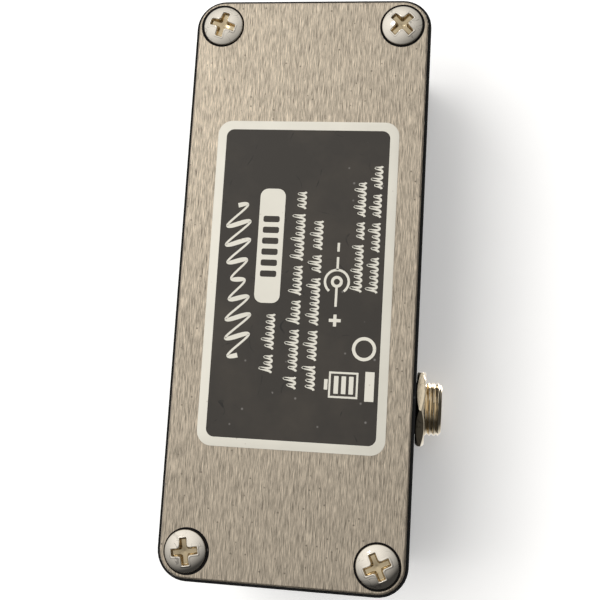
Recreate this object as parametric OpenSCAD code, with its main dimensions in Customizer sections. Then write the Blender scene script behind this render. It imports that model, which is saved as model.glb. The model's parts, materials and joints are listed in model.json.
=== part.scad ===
// Compact boost pedal for electric guitar: die-cast box, base plate, two jacks, footswitch,
// one gain knob, power inlet, and the battery and circuit inside.
// X is the width, +Y the knob end, +Z up. It stands on its four base screws.

/* [Enclosure] */
// Width of the box across its open edge
box_w = 38.4; // [38:0.1:46]
// Length of the box along its open edge
box_l = 93.2; // [93:0.1:112]
// Radius of the upright corners
corner_r = 4.7; // [4.5:0.1:7]
// Radius of the edge round the top face
top_edge_r = 2.4; // [1:0.1:4]
// Wall thickness
wall_t = 2.2; // [1.6:0.1:2.6]
// Thickness of the top face
top_t = 2.2; // [1.6:0.1:3]
// Lean of each wall, in degrees
draft = 0.75; // [0:0.05:1.2]
// Free height between the jack frames and the top face
head_room = 0.5; // [0.3:0.1:8]

/* [Base plate] */
// Thickness of the base plate
plate_t = 0.8; // [0.6:0.1:2]
// How far the plate stays inside the box edge
plate_inset = 0.5; // [0:0.01:1]
// Width of the label
label_w = 29.1; // [20:0.1:29.5]
// Length of the label
label_l = 51.9; // [30:0.1:60]
// Corner radius of the label
label_r = 2.3; // [1:0.1:4]
// Thickness of the label
label_t = 0.12; // [0.05:0.01:0.3]
// How far the label sits towards the input side
label_shift = 0.4; // [-1:0.1:1]

/* [Base screws] */
// Distance from a screw to the side edge
screw_side = 4.6; // [4.4:0.05:6]
// Distance from a screw to the end edge
screw_end = 4.6; // [4.3:0.05:6]
// Diameter of the screw head
head_d = 6.5; // [6:0.1:7.6]
// Height of the screw head
head_h = 1.3; // [1.2:0.1:3]
// Diameter of the screw shank
shank_d = 3.4; // [2.9:0.1:4]
// Length of the screw shank
shank_l = 12; // [8:0.5:16]

/* [Jacks] */
// Outside diameter of the jack thread
jack_thread_d = 9.525; // [9:0.005:12]
// Bore that takes the plug
jack_bore_d = 6.5; // [6.4:0.01:6.6]
// How far the thread stands out of the wall
jack_proud = 4.5; // [3:0.1:7]
// Thread pitch of the jack
jack_pitch = 0.794; // [0.5:0.01:1.2]
// Nut size across its flats
jack_nut_af = 13; // [12:0.1:15]
// Nut thickness
jack_nut_t = 1.6; // [1.2:0.1:3]
// Width of the jack frame
jack_frame_w = 14.4; // [14:0.1:15]
// Length of the jack frame arm
jack_arm_l = 15; // [10:0.5:17]

/* [Footswitch] */
// Side of the square switch case
fs_case = 17.3; // [15:0.1:18]
// Height of the switch case
fs_case_h = 14; // [13:0.1:16]
// Outside diameter of the switch bushing
fs_bush_d = 12; // [11.5:0.1:14.4]
// How far the bushing stands above the top face
fs_bush_up = 6.6; // [6:0.1:9]
// Diameter of the plunger
plunger_d = 9.2; // [8:0.1:9.6]
// How far the plunger stands above the bushing
plunger_up = 5.2; // [4.5:0.1:8]
// Travel of the plunger
plunger_travel = 2.4; // [1:0.1:3]
// Distance from the footswitch to the front edge of the box
fs_inset = 14.6; // [14.4:0.1:20]

/* [Gain control] */
// Diameter of the potentiometer case
pot_d = 16; // [15:0.1:17]
// Height of the potentiometer case
pot_h = 8.6; // [7:0.1:10]
// Diameter of the potentiometer bush
pot_bush_d = 7; // [6.8:0.1:8.4]
// Diameter of the shaft
shaft_d = 6; // [5:0.01:6.1]
// Distance from the gain control to the back edge of the box
pot_inset = 12.8; // [11.9:0.1:14]
// Diameter of the knob
knob_d = 18; // [14:0.1:19]
// Height of the knob
knob_h = 13; // [12:0.1:18]
// Number of grip flutes round the knob
knob_flutes = 20; // [8:1:28]

/* [Lamp] */
// Diameter of the lamp lens
lamp_d = 5; // [3:0.1:6]
// Distance from the lamp to the footswitch
lamp_gap = 19.5; // [18:0.1:22]

/* [Power inlet] */
// Outside diameter of the inlet bush
inlet_d = 11; // [10:0.1:12]
// Bore that takes the power plug
inlet_bore_d = 5.8; // [5.6:0.1:6.4]
// Diameter of the centre pin
inlet_pin_d = 2.1; // [1.6:0.1:2.5]
// Height of the inlet above the base plate
inlet_up = 12.8; // [12:0.1:13.4]

/* [Battery] */
// Battery length without its terminals
battery_l = 48.5; // [44:0.1:48.6]
// Battery width
battery_w = 26.5; // [24:0.1:26.6]
// Battery thickness
battery_t = 17.5; // [16:0.1:24]
// Thickness of the foam pad under the battery
foam_t = 0.8; // [0.5:0.1:3]
// Clear height between the battery and the jack frames
jack_gap = 1.6; // [0.5:0.1:4]

/* [Fits] */
// Radial clearance of a part that turns or slides in a bore
run_fit = 0.05; // [0.02:0.01:0.1]
// Radial clearance of a bolt, bush or nut in its hole
hole_fit = 0.15; // [0.1:0.01:0.3]
// Radial clearance between a nut and its thread
nut_fit = 0.03; // [0.02:0.01:0.1]
// Air between neighbouring parts
air = 0.4; // [0.2:0.1:0.8]

/* [Hidden] */
$fn = 64;

// Levels, counted from the surface that the screw heads stand on
plate_z = head_h;
shell_z = plate_z + plate_t;
battery_z = shell_z + foam_t;
jack_z = battery_z + battery_t + jack_gap + jack_frame_w / 2;
ceiling_z = jack_z + jack_frame_w / 2 + head_room;
top_z = ceiling_z + top_t;

// Lean of the walls and the wall planes at a height
function lean(z) = (z - shell_z) * tan(draft);
function side_out(z) = box_w / 2 - lean(z);
function side_in(z) = side_out(z) - wall_t;
post_r = 3.6;

// Power inlet, whose flange is all that stands out of an end wall
inlet_z = plate_z + inlet_up;
inlet_nut_t = 2;
inlet_nut_af = inlet_d + 3;
inlet_proud = 0.7;
inlet_flange_r = inlet_d / 2 + 0.7;
inlet_depth = 11.6;

// Stations along Y; the box is moved so that the whole pedal is centred on the origin
mid_y = -(inlet_proud - lean(inlet_z - inlet_flange_r)) / 2;
front_y = mid_y - box_l / 2;
back_y = mid_y + box_l / 2;
function back_out(z) = back_y - lean(z);
function back_in(z) = back_out(z) - wall_t;
fs_y = front_y + fs_inset;
pot_y = back_y - pot_inset;
lamp_y = fs_y + lamp_gap;
input_y = pot_y - pot_d / 2 - air - 0.3 - jack_frame_w / 2;
output_y = input_y - jack_frame_w - 2 * air;
battery_y = fs_y + fs_case / 2 + 1;
battery_end = battery_y + battery_l;

// Jack stack, along its own axis from the outside face of the wall
jack_seat = side_out(jack_z - jack_nut_af / sqrt(3));
jack_wall = jack_seat - side_in(jack_z + jack_frame_w / 2) + 0.02;
lock_t = 0.5;
frame_t = 1;
jack_back = jack_wall + lock_t + frame_t;
bush_back = jack_back - 0.05;
arm_in = jack_bore_d / 2 + 1;
arm_t = 1;
stack_t = 0.8;
spring_t = 0.4;

// Footswitch levels
fs_lock_t = 0.6;
fs_inner_nut_t = 2;
fs_top = ceiling_z - fs_lock_t - fs_inner_nut_t;
fs_floor = fs_top - fs_case_h;
fs_well = 8;
fs_flange_h = 1.4;
fs_bush_top = top_z + fs_bush_up;
fs_washer_t = 0.8;
fs_nut_t = 2.6;
fs_nut_af = 14.6 * fs_bush_d / 12;
plunger_r = plunger_d / 2;
fs_flange_r = plunger_r + 0.7;

// Gain control levels
pot_lock_t = 0.6;
pot_top = ceiling_z - pot_lock_t;
pot_floor = pot_top - pot_h;
pot_bush_up = 4.4;
pot_washer_t = 0.5;
pot_nut_t = 2;
pot_nut_af = 10;
shaft_end = 1.8;
knob_lift = 0.7;
knob_z = top_z + knob_lift;
knob_well = max(pot_bush_up, pot_nut_t + pot_washer_t) + air;
cap_t = 0.8;
cap_d = knob_d * 0.62;
pointer_w = 1.1;

// Circuit board levels
board_t = 1.6;
board_top = pot_floor - 1.5;
board_z = board_top - board_t;
board_w = 30.4;
board_front = pot_y - 7.4;
board_back = pot_y + 4;
switch_x = -11.2;
switch_y = pot_y - 0.2;
switch_w = 7;
switch_l = 6.6;
switch_h = 5.2;
slider_travel = 1.6;

// ---------- shared shapes ----------

// Flat outline with round corners, centred
module round_rect(w, l, r) {
  square([w - 2 * r, l], center = true);
  square([w, l - 2 * r], center = true);
  for (x = [-1, 1], y = [-1, 1]) translate([x * (w / 2 - r), y * (l / 2 - r)]) circle(r);
}

// Solid between two outlines, with a rounded top edge of radius e
module draft_block(w, l, r, z0, z1, e) {
  hull() for (x = [-1, 1], y = [-1, 1]) {
    translate([x * (w / 2 - r), y * (l / 2 - r), z0]) cylinder(h = 0.01, r = r, $fn = 40);
    for (a = [0 : 15 : 90]) {
      s = lean(z1) - lean(z0);
      translate([x * (w / 2 - r - s), y * (l / 2 - r - s), z1 - e + e * sin(a) - 0.01])
        cylinder(h = 0.01, r = r - e + e * cos(a), $fn = 40);
    }
  }
}

// Tube
module ring(d_out, d_in, h) {
  difference() {
    cylinder(h = h, d = d_out);
    translate([0, 0, -1]) cylinder(h = h + 2, d = d_in);
  }
}

// Hex nut with chamfered corners, lying on its lower face
module hex_nut(af, h, bore_d, chamfer = 0.5) {
  corner = af / sqrt(3);
  difference() {
    intersection() {
      cylinder(h = h, r = corner, $fn = 6);
      rotate_extrude() polygon([
        [0, 0], [corner + 0.1, 0], [corner + 0.1, h - chamfer],
        [corner - 1.5 * chamfer, h], [0, h]
      ]);
    }
    translate([0, 0, -1]) cylinder(h = h + 2, d = bore_d);
  }
}

// Outside thread as rings of the pitch, from z = 0 up to h, with a lead-in chamfer
module thread(d, pitch, h) {
  deep = pitch * 0.42;
  turns = floor((h - 0.2) / pitch);
  start = h - turns * pitch;
  rotate_extrude() polygon(concat(
    [[0, 0], [d / 2 - deep, 0]],
    [for (i = [0 : turns - 1], p = [
        [d / 2 - deep, start + i * pitch - pitch * 0.1],
        [i == turns - 1 ? d / 2 - deep : d / 2, start + (i + 0.4) * pitch],
        [i == turns - 1 ? d / 2 - deep : d / 2, start + (i + 0.5) * pitch]
      ]) p],
    [[d / 2 - deep, h], [0, h]]
  ));
}

// Flat strip of thickness t that follows points in its own plane
function across(v) = [-v[1], v[0]] / norm(v);
// From a point of the run to the strip's edge, mitred between the two legs that meet there
function to_edge(p, i, t) =
  let (
    a = across(p[max(i, 1)] - p[max(i, 1) - 1]),
    b = across(p[min(i + 1, len(p) - 1)] - p[min(i, len(p) - 2)]),
    m = unit(a + b)
  ) m * t / 2 / (m * a);
module strip(points, t, w) {
  last = len(points) - 1;
  linear_extrude(w, center = true) polygon([
    for (i = [0 : last]) points[i] + to_edge(points, i, t),
    for (i = [last : -1 : 0]) points[i] - to_edge(points, i, t)
  ]);
}

// Smooth route through points, for a wire (a curve that passes through each of them)
function bend(a, b, c, d, u) = 0.5 * ((2 * b) + (c - a) * u
  + (2 * a - 5 * b + 4 * c - d) * u * u + (3 * b - a - 3 * c + d) * u * u * u);
function route(p, n) = [
  for (i = [0 : len(p) - 2], k = [0 : n - 1])
    bend(p[max(i - 1, 0)], p[i], p[i + 1], p[min(i + 2, len(p) - 1)], k / n),
  p[len(p) - 1]
];
function unit(v) = v / norm(v);
// A direction square to the run, carried along it so that the wire doesn't twist
function carry(t, last) = unit(last - (last * t) * t);
function heading(p, c, i) =
  i == 0 ? unit(p[1] - p[0]) :
  i == len(c) - 1 ? unit(p[len(p) - 1] - p[len(p) - 2]) : unit(c[i + 1] - c[i - 1]);
function frames(p, c, i = 0, last = [0.31, 0.52, 0.79]) =
  i >= len(c) ? [] :
  let (t = heading(p, c, i), n = carry(t, last))
    concat([[n, cross(t, n)]], frames(p, c, i + 1, n));

// Round wire along a route
module wire(points, d, n = 4, sides = 8) {
  c = route(points, n);
  f = frames(points, c);
  rings = len(c);
  verts = [for (i = [0 : rings - 1], k = [0 : sides - 1])
    c[i] + d / 2 * (cos(360 * k / sides) * f[i][0] + sin(360 * k / sides) * f[i][1])];
  skin = [for (i = [0 : rings - 2], k = [0 : sides - 1])
    let (a = i * sides + k, b = i * sides + (k + 1) % sides) [a, a + sides, b + sides, b]];
  polyhedron(verts, concat(skin, [
    [for (k = [0 : sides - 1]) k],
    [for (k = [sides - 1 : -1 : 0]) (rings - 1) * sides + k]
  ]));
}
wire_d = 1.2;

// Places a jack piece: its axis is +X outward, its origin is where the nut seats
module at_input() { translate([jack_seat, input_y, jack_z]) children(); }
module at_output() { translate([-jack_seat, output_y, jack_z]) rotate(180) children(); }

// ---------- enclosure ----------

module post_places() {
  for (x = [-1, 1], y = [-1, 1])
    translate([x * (box_w / 2 - screw_side), mid_y + y * (box_l / 2 - screw_end), 0]) children();
}

module enclosure_shell() {
  in_w = box_w - 2 * wall_t;
  in_l = box_l - 2 * wall_t;
  color([0.13, 0.13, 0.14]) difference() {
    translate([0, mid_y, 0]) draft_block(box_w, box_l, corner_r, shell_z, top_z, top_edge_r);
    difference() {
      translate([0, mid_y, 0])
        draft_block(in_w, in_l, corner_r - wall_t, shell_z - 0.01, ceiling_z, 0.3);
      post_places() cylinder(h = top_z, r = post_r);
    }
    post_places() translate([0, 0, shell_z - 1])
      cylinder(h = shank_l - plate_t + 2, d = shank_d + 2 * nut_fit);
    at_input() rotate([0, -90, 0]) translate([0, 0, -5])
      cylinder(h = 12, d = jack_thread_d + 2 * hole_fit);
    at_output() rotate([0, -90, 0]) translate([0, 0, -5])
      cylinder(h = 12, d = jack_thread_d + 2 * hole_fit);
    translate([0, fs_y, ceiling_z - 1]) cylinder(h = top_t + 2, d = fs_bush_d + 2 * hole_fit);
    translate([0, pot_y, ceiling_z - 1]) cylinder(h = top_t + 2, d = pot_bush_d + 2 * hole_fit);
    translate([0, lamp_y, ceiling_z - 1]) cylinder(h = top_t + 2, d = lamp_d + 1.6 + 2 * nut_fit);
    translate([0, back_y - 6, inlet_z]) rotate([-90, 0, 0])
      cylinder(h = 10, d = inlet_d + 2 * hole_fit);
  }
}

module base_plate() {
  color([0.66, 0.64, 0.6]) translate([0, mid_y, plate_z]) difference() {
    linear_extrude(plate_t)
      round_rect(box_w - 2 * plate_inset, box_l - 2 * plate_inset, corner_r - plate_inset);
    translate([0, -mid_y, -1]) post_places() cylinder(h = plate_t + 2, d = shank_d + 2 * hole_fit);
  }
}

module base_label() {
  color([0.12, 0.12, 0.12]) translate([label_shift, mid_y, plate_z - label_t])
    linear_extrude(label_t) round_rect(label_w, label_l, label_r);
}

module base_screws() {
  slot_w = 1.15;
  slot_l = head_d * 0.56;
  color([0.78, 0.77, 0.74]) post_places() difference() {
    union() {
      rotate_extrude() polygon(concat(
        [[0, head_h], [head_d / 2 - 0.1, head_h], [head_d / 2, head_h - 0.1]],
        [for (a = [0 : 15 : 90])
          [head_d / 2 - 1.3 + 1.3 * cos(a), (head_h - 0.5) * (1 - sin(a))]],
        [[0, 0]]
      ));
      translate([0, 0, head_h - 0.01]) cylinder(h = shank_l, d = shank_d);
    }
    for (a = [0, 90]) rotate(a) translate([-slot_l / 2, -slot_w / 2, -1])
      cube([slot_l, slot_w, head_h + 0.7]);
  }
}

// ---------- jacks ----------

module jack_bush() {
  color([0.8, 0.77, 0.7]) rotate([0, 90, 0]) difference() {
    union() {
      thread(jack_thread_d, jack_pitch, jack_proud);
      translate([0, 0, -bush_back]) cylinder(h = bush_back + 0.01, d = jack_thread_d);
    }
    translate([0, 0, -jack_back - 1]) cylinder(h = jack_proud + jack_back + 2, d = jack_bore_d);
  }
}

// Front plate on the bush and an arm that carries the contact stack
module jack_frame() {
  side = jack_frame_w;
  color([0.72, 0.72, 0.7]) {
    difference() {
      translate([-jack_back, -side / 2, -side / 2]) cube([frame_t, side, side]);
      rotate([0, -90, 0]) cylinder(h = 10, d = jack_thread_d + 2 * nut_fit);
    }
    translate([-jack_back - jack_arm_l, arm_in, -3]) cube([jack_arm_l + 0.01, arm_t, 6]);
  }
}

module jack_insulators() {
  x = -jack_back - jack_arm_l;
  color([0.45, 0.3, 0.2]) for (y = [0, stack_t + spring_t])
    translate([x + 0.5, arm_in + arm_t + y, -3]) cube([7, stack_t, 6]);
}

// Leaf from the stack to a hooked contact beside the plug's tip
module jack_tip_spring() {
  x = -jack_back - jack_arm_l;
  y = arm_in + arm_t + stack_t + spring_t / 2;
  color([0.83, 0.68, 0.4]) strip([
    [x + 9.5, y], [x - 1.5, y], [x - 4, 3.2], [x - 5.2, 2.1], [x - 6.4, 3.2], [x - 7, 4.4]
  ], spring_t, 4.4);
}

module input_jack_bush() { at_input() jack_bush(); }
module input_jack_frame() { at_input() jack_frame(); }
module input_jack_insulators() { at_input() jack_insulators(); }
module input_jack_tip_spring() { at_input() jack_tip_spring(); }
module output_jack_bush() { at_output() jack_bush(); }
module output_jack_frame() { at_output() jack_frame(); }
module output_jack_insulators() { at_output() jack_insulators(); }
module output_jack_tip_spring() { at_output() jack_tip_spring(); }

// The nuts sit with a corner towards the base plate
module jack_nuts() {
  color([0.8, 0.76, 0.66]) {
    at_input() rotate([0, 90, 0]) hex_nut(jack_nut_af, jack_nut_t, jack_thread_d + 2 * nut_fit);
    at_output() rotate([0, 90, 0]) hex_nut(jack_nut_af, jack_nut_t, jack_thread_d + 2 * nut_fit);
  }
}

module jack_lock_washer() {
  translate([-jack_wall - lock_t, 0, 0]) rotate([0, 90, 0])
    ring(jack_thread_d + 3.2, jack_thread_d + 2 * hole_fit, lock_t);
}

module jack_lock_washers() {
  color([0.7, 0.7, 0.7]) {
    at_input() jack_lock_washer();
    at_output() jack_lock_washer();
  }
}

// ---------- footswitch ----------

module at_switch(z) { translate([0, fs_y, z]) children(); }

module footswitch_case() {
  color([0.12, 0.25, 0.5]) at_switch(fs_floor) difference() {
    translate([-fs_case / 2, -fs_case / 2, 0]) cube([fs_case, fs_case, fs_case_h]);
    translate([0, 0, fs_case_h - fs_well]) cylinder(h = fs_well + 1, r = plunger_r + air);
    translate([0, 0, fs_case_h - plunger_travel - fs_flange_h - air])
      cylinder(h = fs_well, r = fs_flange_r + air);
  }
}

module footswitch_bushing() {
  h = fs_bush_top - fs_top;
  color([0.75, 0.75, 0.74]) at_switch(fs_top) difference() {
    union() {
      cylinder(h = h - fs_bush_up + 0.01, d = fs_bush_d);
      translate([0, 0, h - fs_bush_up]) thread(fs_bush_d, 0.75, fs_bush_up);
    }
    translate([0, 0, -1]) cylinder(h = h + 2, r = plunger_r + run_fit);
  }
}

module footswitch_inner_nut() {
  color([0.72, 0.72, 0.7]) at_switch(fs_top)
    hex_nut(fs_nut_af, fs_inner_nut_t, fs_bush_d + 2 * nut_fit);
}

module footswitch_lock_washer() {
  color([0.7, 0.7, 0.68]) at_switch(ceiling_z - fs_lock_t)
    ring(fs_bush_d + 4, fs_bush_d + 2 * hole_fit, fs_lock_t);
}

module footswitch_washer() {
  color([0.85, 0.85, 0.82]) at_switch(top_z)
    ring(fs_bush_d + 5, fs_bush_d + 2 * hole_fit, fs_washer_t);
}

module footswitch_dress_nut() {
  color([0.8, 0.8, 0.8]) at_switch(top_z + fs_washer_t)
    hex_nut(fs_nut_af, fs_nut_t, fs_bush_d + 2 * nut_fit, 0.7);
}

module footswitch_lugs() {
  color([0.83, 0.8, 0.7]) at_switch(fs_floor) for (x = [-1, 0, 1], y = [-1, 0, 1])
    translate([x * 5.3 - 1, y * 5.3 - 0.4, -4]) cube([2, 0.8, 4]);
}

module footswitch_plunger() {
  top = fs_bush_top + plunger_up - fs_top;
  foot = -fs_flange_h - 0.02;
  color([0.82, 0.82, 0.82]) at_switch(fs_top) rotate_extrude() polygon(concat(
    [[0, foot], [fs_flange_r, foot], [fs_flange_r, -0.02], [plunger_r, -0.02]],
    [for (a = [0 : 15 : 90])
      [plunger_r - 1.4 + 1.4 * cos(a), top - 1.4 + 1.4 * sin(a)]],
    [[0, top + 0.15]]
  ));
}

// Return spring between the well's floor and the plunger's foot
spring_turns = 4;
module footswitch_spring() {
  z0 = fs_top - fs_well + 0.35;
  z1 = fs_top - fs_flange_h - 0.4;
  r = plunger_r - 1;
  color([0.6, 0.6, 0.6]) at_switch(0) wire(
    [for (a = [0 : 30 : 360 * spring_turns])
      [r * cos(a), r * sin(a), z0 + (z1 - z0) * a / (360 * spring_turns)]], 0.6, 1);
}

// ---------- gain control ----------

module at_pot(z) { translate([0, pot_y, z]) children(); }

module pot_case() {
  color([0.7, 0.7, 0.68]) at_pot(pot_floor) difference() {
    cylinder(h = pot_h, d = pot_d);
    translate([0, 0, shaft_end - air]) cylinder(h = pot_h, r = shaft_d / 2 + run_fit);
  }
}

module pot_bush() {
  h = top_z + pot_bush_up - pot_top;
  color([0.78, 0.76, 0.7]) at_pot(pot_top) difference() {
    union() {
      cylinder(h = h - pot_bush_up + 0.01, d = pot_bush_d);
      translate([0, 0, h - pot_bush_up]) thread(pot_bush_d, 0.75, pot_bush_up);
    }
    translate([0, 0, -1]) cylinder(h = h + 2, r = shaft_d / 2 + run_fit);
  }
}

module pot_washer() {
  color([0.75, 0.75, 0.75]) {
    at_pot(top_z) ring(pot_bush_d + 5, pot_bush_d + 2 * hole_fit, pot_washer_t);
    at_pot(ceiling_z - pot_lock_t)
      ring(pot_bush_d + 4, pot_bush_d + 2 * hole_fit, pot_lock_t);
  }
}

module pot_nut() {
  color([0.78, 0.78, 0.76]) at_pot(top_z + pot_washer_t)
    hex_nut(pot_nut_af, pot_nut_t, pot_bush_d + 2 * nut_fit);
}

// Three pins from the case down through the board
module pot_pins() {
  y = -pot_d / 2 + 1.6;
  color([0.83, 0.8, 0.7]) for (x = [-1, 0, 1])
    at_pot(board_z - 1) translate([x * 3.5 - 0.4, y - 0.3, 0]) cube([0.8, 0.6, pot_floor - board_z + 1]);
}

module pot_shaft() {
  low = pot_floor + shaft_end;
  high = knob_z + knob_h - cap_t - 1.4;
  color([0.8, 0.78, 0.7]) at_pot(low) cylinder(h = high - low, d = shaft_d);
}

module knob_body() {
  r = knob_d / 2;
  well_r = pot_nut_af / sqrt(3) + 0.8;
  color([0.07, 0.07, 0.08]) at_pot(knob_z) difference() {
    rotate_extrude() polygon(concat(
      [[0, 0], [r - 0.4, 0], [r, 0.4], [r, 2.2], [r - 0.8, 3]],
      [for (a = [0 : 15 : 90])
        [r - 2.6 + 1.2 * cos(a), knob_h - 1.2 + 1.2 * sin(a)]],
      [[0, knob_h]]
    ));
    translate([0, 0, -1]) cylinder(h = knob_well + 1, r = well_r);
    cylinder(h = knob_h - cap_t - 1.3, d = shaft_d + 2 * nut_fit);
    translate([0, 0, knob_h - cap_t]) cylinder(h = cap_t + 1, d = cap_d + 2 * nut_fit);
    for (i = [0 : knob_flutes - 1]) rotate(360 * (i + 0.5) / knob_flutes)
      translate([r - 0.75, 0, 3.2]) cylinder(h = knob_h, d = 1.5, $fn = 24);
    translate([0, 0, knob_well + 2]) rotate([90, 0, 0]) cylinder(h = r, d = 3 + 2 * nut_fit);
    translate([-pointer_w / 2, cap_d / 2 - 3, knob_h - 0.9]) cube([pointer_w, r, 1]);
  }
}

module knob_cap() {
  color([0.75, 0.75, 0.76]) at_pot(knob_z + knob_h - cap_t) difference() {
    cylinder(h = cap_t, d = cap_d);
    translate([-pointer_w / 2 - 0.03, cap_d / 2 - 3.03, -1]) cube([pointer_w + 0.06, knob_d, 3]);
  }
}

module knob_pointer() {
  end = knob_d / 2 - 1.9;
  color([0.93, 0.92, 0.88]) at_pot(knob_z + knob_h - 0.88)
    translate([-pointer_w / 2 + 0.02, cap_d / 2 - 2.95, 0])
      cube([pointer_w - 0.04, end - cap_d / 2 + 2.95, 0.9]);
}

module knob_set_screw() {
  color([0.3, 0.3, 0.3]) at_pot(knob_z + knob_well + 2) rotate([90, 0, 0])
    translate([0, 0, shaft_d / 2 + 0.02]) difference() {
      cylinder(h = 3.6, d = 3);
      translate([0, 0, 1.8]) cylinder(h = 3, d = 1.7, $fn = 6);
    }
}

// ---------- lamp ----------

module at_lamp(z) { translate([0, lamp_y, z]) children(); }

module lamp_lens() {
  r = lamp_d / 2;
  color([0.3, 0.45, 0.95]) at_lamp(ceiling_z - 3) {
    rotate_extrude() polygon(concat(
      [[0, 0], [r, 0]],
      [for (a = [0 : 15 : 90]) [r * cos(a), top_t + 3.4 + r * 0.8 * sin(a)]]
    ));
  }
}

module lamp_bezel() {
  inner = lamp_d + 2 * nut_fit;
  color([0.75, 0.75, 0.76]) at_lamp(ceiling_z - 2) difference() {
    union() {
      cylinder(h = top_t + 2, d = lamp_d + 1.6);
      translate([0, 0, top_t + 2]) rotate_extrude() polygon([
        [0, 0], [lamp_d / 2 + 1.9, 0], [lamp_d / 2 + 1.9, 0.5],
        [lamp_d / 2 + 1.3, 1.2], [0, 1.2]
      ]);
    }
    translate([0, 0, -1]) cylinder(h = top_t + 6, d = inner);
  }
}

module lamp_leads() {
  color([0.8, 0.8, 0.78]) for (x = [-1, 1])
    at_lamp(ceiling_z - 9) translate([x * 1.27 - 0.25, -0.25, 0]) cube([0.5, 0.5, 6]);
}

// ---------- circuit board ----------

module board_pad(x, y, z) { translate([x, pot_y + y, z]) children(); }

module circuit_board() {
  tongue = 20.4;
  color([0.05, 0.28, 0.14]) difference() {
    union() {
      translate([-board_w / 2, board_front, board_z])
        cube([board_w, board_back - board_front, board_t]);
      translate([-tongue / 2, board_back - 0.01, board_z]) cube([tongue, 3, board_t]);
    }
    for (x = [-1, 0, 1]) board_pad(x * 3.5, -pot_d / 2 + 1.6, board_z - 1)
      cylinder(h = board_t + 2, d = 1.4);
  }
}

resistor_d = 1.5;
module board_resistors() {
  color([0.75, 0.65, 0.45]) for (i = [0 : 4])
    board_pad(7 + 1.8 * i, -0.6, board_z - resistor_d / 2) rotate([90, 0, 0]) {
      cylinder(h = 3.6, d = resistor_d, center = true);
      cylinder(h = 6, d = 0.5, center = true);
    }
}

module board_film_capacitors() {
  color([0.7, 0.15, 0.1]) for (y = [-6, -2.8])
    board_pad(-13.6, y, board_top) cube([4.6, 2.4, 5.4]);
}

module board_electrolytics() {
  color([0.1, 0.1, 0.35]) for (y = [-4, 1.4])
    board_pad(12.2, y, board_top) cylinder(h = 7, d = 4.6);
}

module board_transistors() {
  leg = 1.5;
  color([0.1, 0.1, 0.1]) for (x = [-12.8, -10.2]) board_pad(x, 1.6, board_top + leg) {
    intersection() {
      cylinder(h = 4.4, d = 4.6);
      translate([-1.1, -1.2, 0]) cube([2.2, 3, 5]);
    }
    for (y = [-0.7, 0.3, 1.3]) translate([-0.2, y - 0.2, -leg]) cube([0.4, 0.4, leg + 0.01]);
  }
}

// Two-way slide switch block under the board, reached with the base plate off
slider_gap = 2.54;
module slide_switch_case() {
  color([0.7, 0.1, 0.1]) translate([switch_x, switch_y, board_z - switch_h]) difference() {
    translate([-switch_w / 2, -switch_l / 2, 0]) cube([switch_w, switch_l, switch_h]);
    for (x = [-0.5, 0.5]) translate([x * slider_gap - 0.7, -1.7, -1]) cube([1.4, 3.4, 2.6]);
  }
}

module slide_switch(x) {
  color([0.95, 0.95, 0.92])
    translate([switch_x + x * slider_gap - 0.65, switch_y - 1.65, board_z - switch_h - 0.7])
      cube([1.3, 3.3 - slider_travel, 2.2]);
}

module slide_switch_left() { slide_switch(-0.5); }
module slide_switch_right() { slide_switch(0.5); }

// ---------- power inlet ----------

// Its axis is +Z outward, its origin is where the nut seats on the end wall
inlet_seat = back_out(inlet_z - inlet_flange_r);
inlet_wall = inlet_seat - back_in(inlet_z + inlet_nut_af / sqrt(3)) + 0.02;
module at_inlet() { translate([0, inlet_seat, inlet_z]) rotate([-90, 0, 0]) children(); }

module inlet_case() {
  color([0.07, 0.07, 0.07]) at_inlet() difference() {
    union() {
      cylinder(h = inlet_proud, r = inlet_flange_r);
      translate([0, 0, -inlet_depth]) cylinder(h = inlet_depth + 0.01, d = inlet_d);
    }
    translate([0, 0, -inlet_depth + 2]) cylinder(h = 30, d = inlet_bore_d);
    translate([0, 0, -inlet_depth - 1]) cylinder(h = 4, d = inlet_pin_d + 0.04);
  }
}

module inlet_pin() {
  color([0.85, 0.83, 0.75]) at_inlet() {
    translate([0, 0, -inlet_depth]) cylinder(h = inlet_depth - 0.9, d = inlet_pin_d);
    translate([0, 0, -0.91]) cylinder(h = 0.5, d = inlet_pin_d - 0.4);
  }
}

module inlet_nut() {
  color([0.09, 0.09, 0.09]) at_inlet() translate([0, 0, -inlet_wall - inlet_nut_t])
    hex_nut(inlet_nut_af, inlet_nut_t, inlet_d + 2 * nut_fit);
}

inlet_lug_l = 2;
module inlet_lugs() {
  color([0.83, 0.8, 0.7]) at_inlet() for (a = [0, 180])
    rotate(a) translate([3.2, -1, -inlet_depth - inlet_lug_l]) cube([0.5, 2, inlet_lug_l]);
}

// ---------- battery ----------

module battery_case() {
  color([0.15, 0.15, 0.17]) translate([0, battery_y, battery_z]) rotate([-90, 0, 0])
    linear_extrude(battery_l) translate([0, -battery_t / 2])
      round_rect(battery_w, battery_t, 1.5);
}

terminal_gap = 12.7;
module battery_terminals() {
  color([0.8, 0.8, 0.78]) translate([0, battery_end, battery_z + battery_t / 2])
    rotate([-90, 0, 0]) {
      translate([-terminal_gap / 2, 0, 0]) cylinder(h = 3, r = 2.85);
      translate([terminal_gap / 2, 0, 0]) cylinder(h = 2.9, r = 3.9, $fn = 6);
    }
}

module battery_snap() {
  h = battery_t - 2;
  color([0.08, 0.08, 0.08]) translate([0, battery_end + 0.1, battery_z + battery_t / 2])
    rotate([-90, 0, 0]) difference() {
      linear_extrude(4.4) round_rect(battery_w - 1.5, h, 1.5);
      for (x = [-1, 1]) translate([x * terminal_gap / 2, 0, -1]) cylinder(h = 4.2, r = 4.3);
    }
}

module battery_foam() {
  color([0.25, 0.25, 0.25]) translate([-battery_w / 2 + 1, battery_y + 1, shell_z])
    cube([battery_w - 2, battery_l - 2, foam_t]);
}

// ---------- wires ----------

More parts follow.
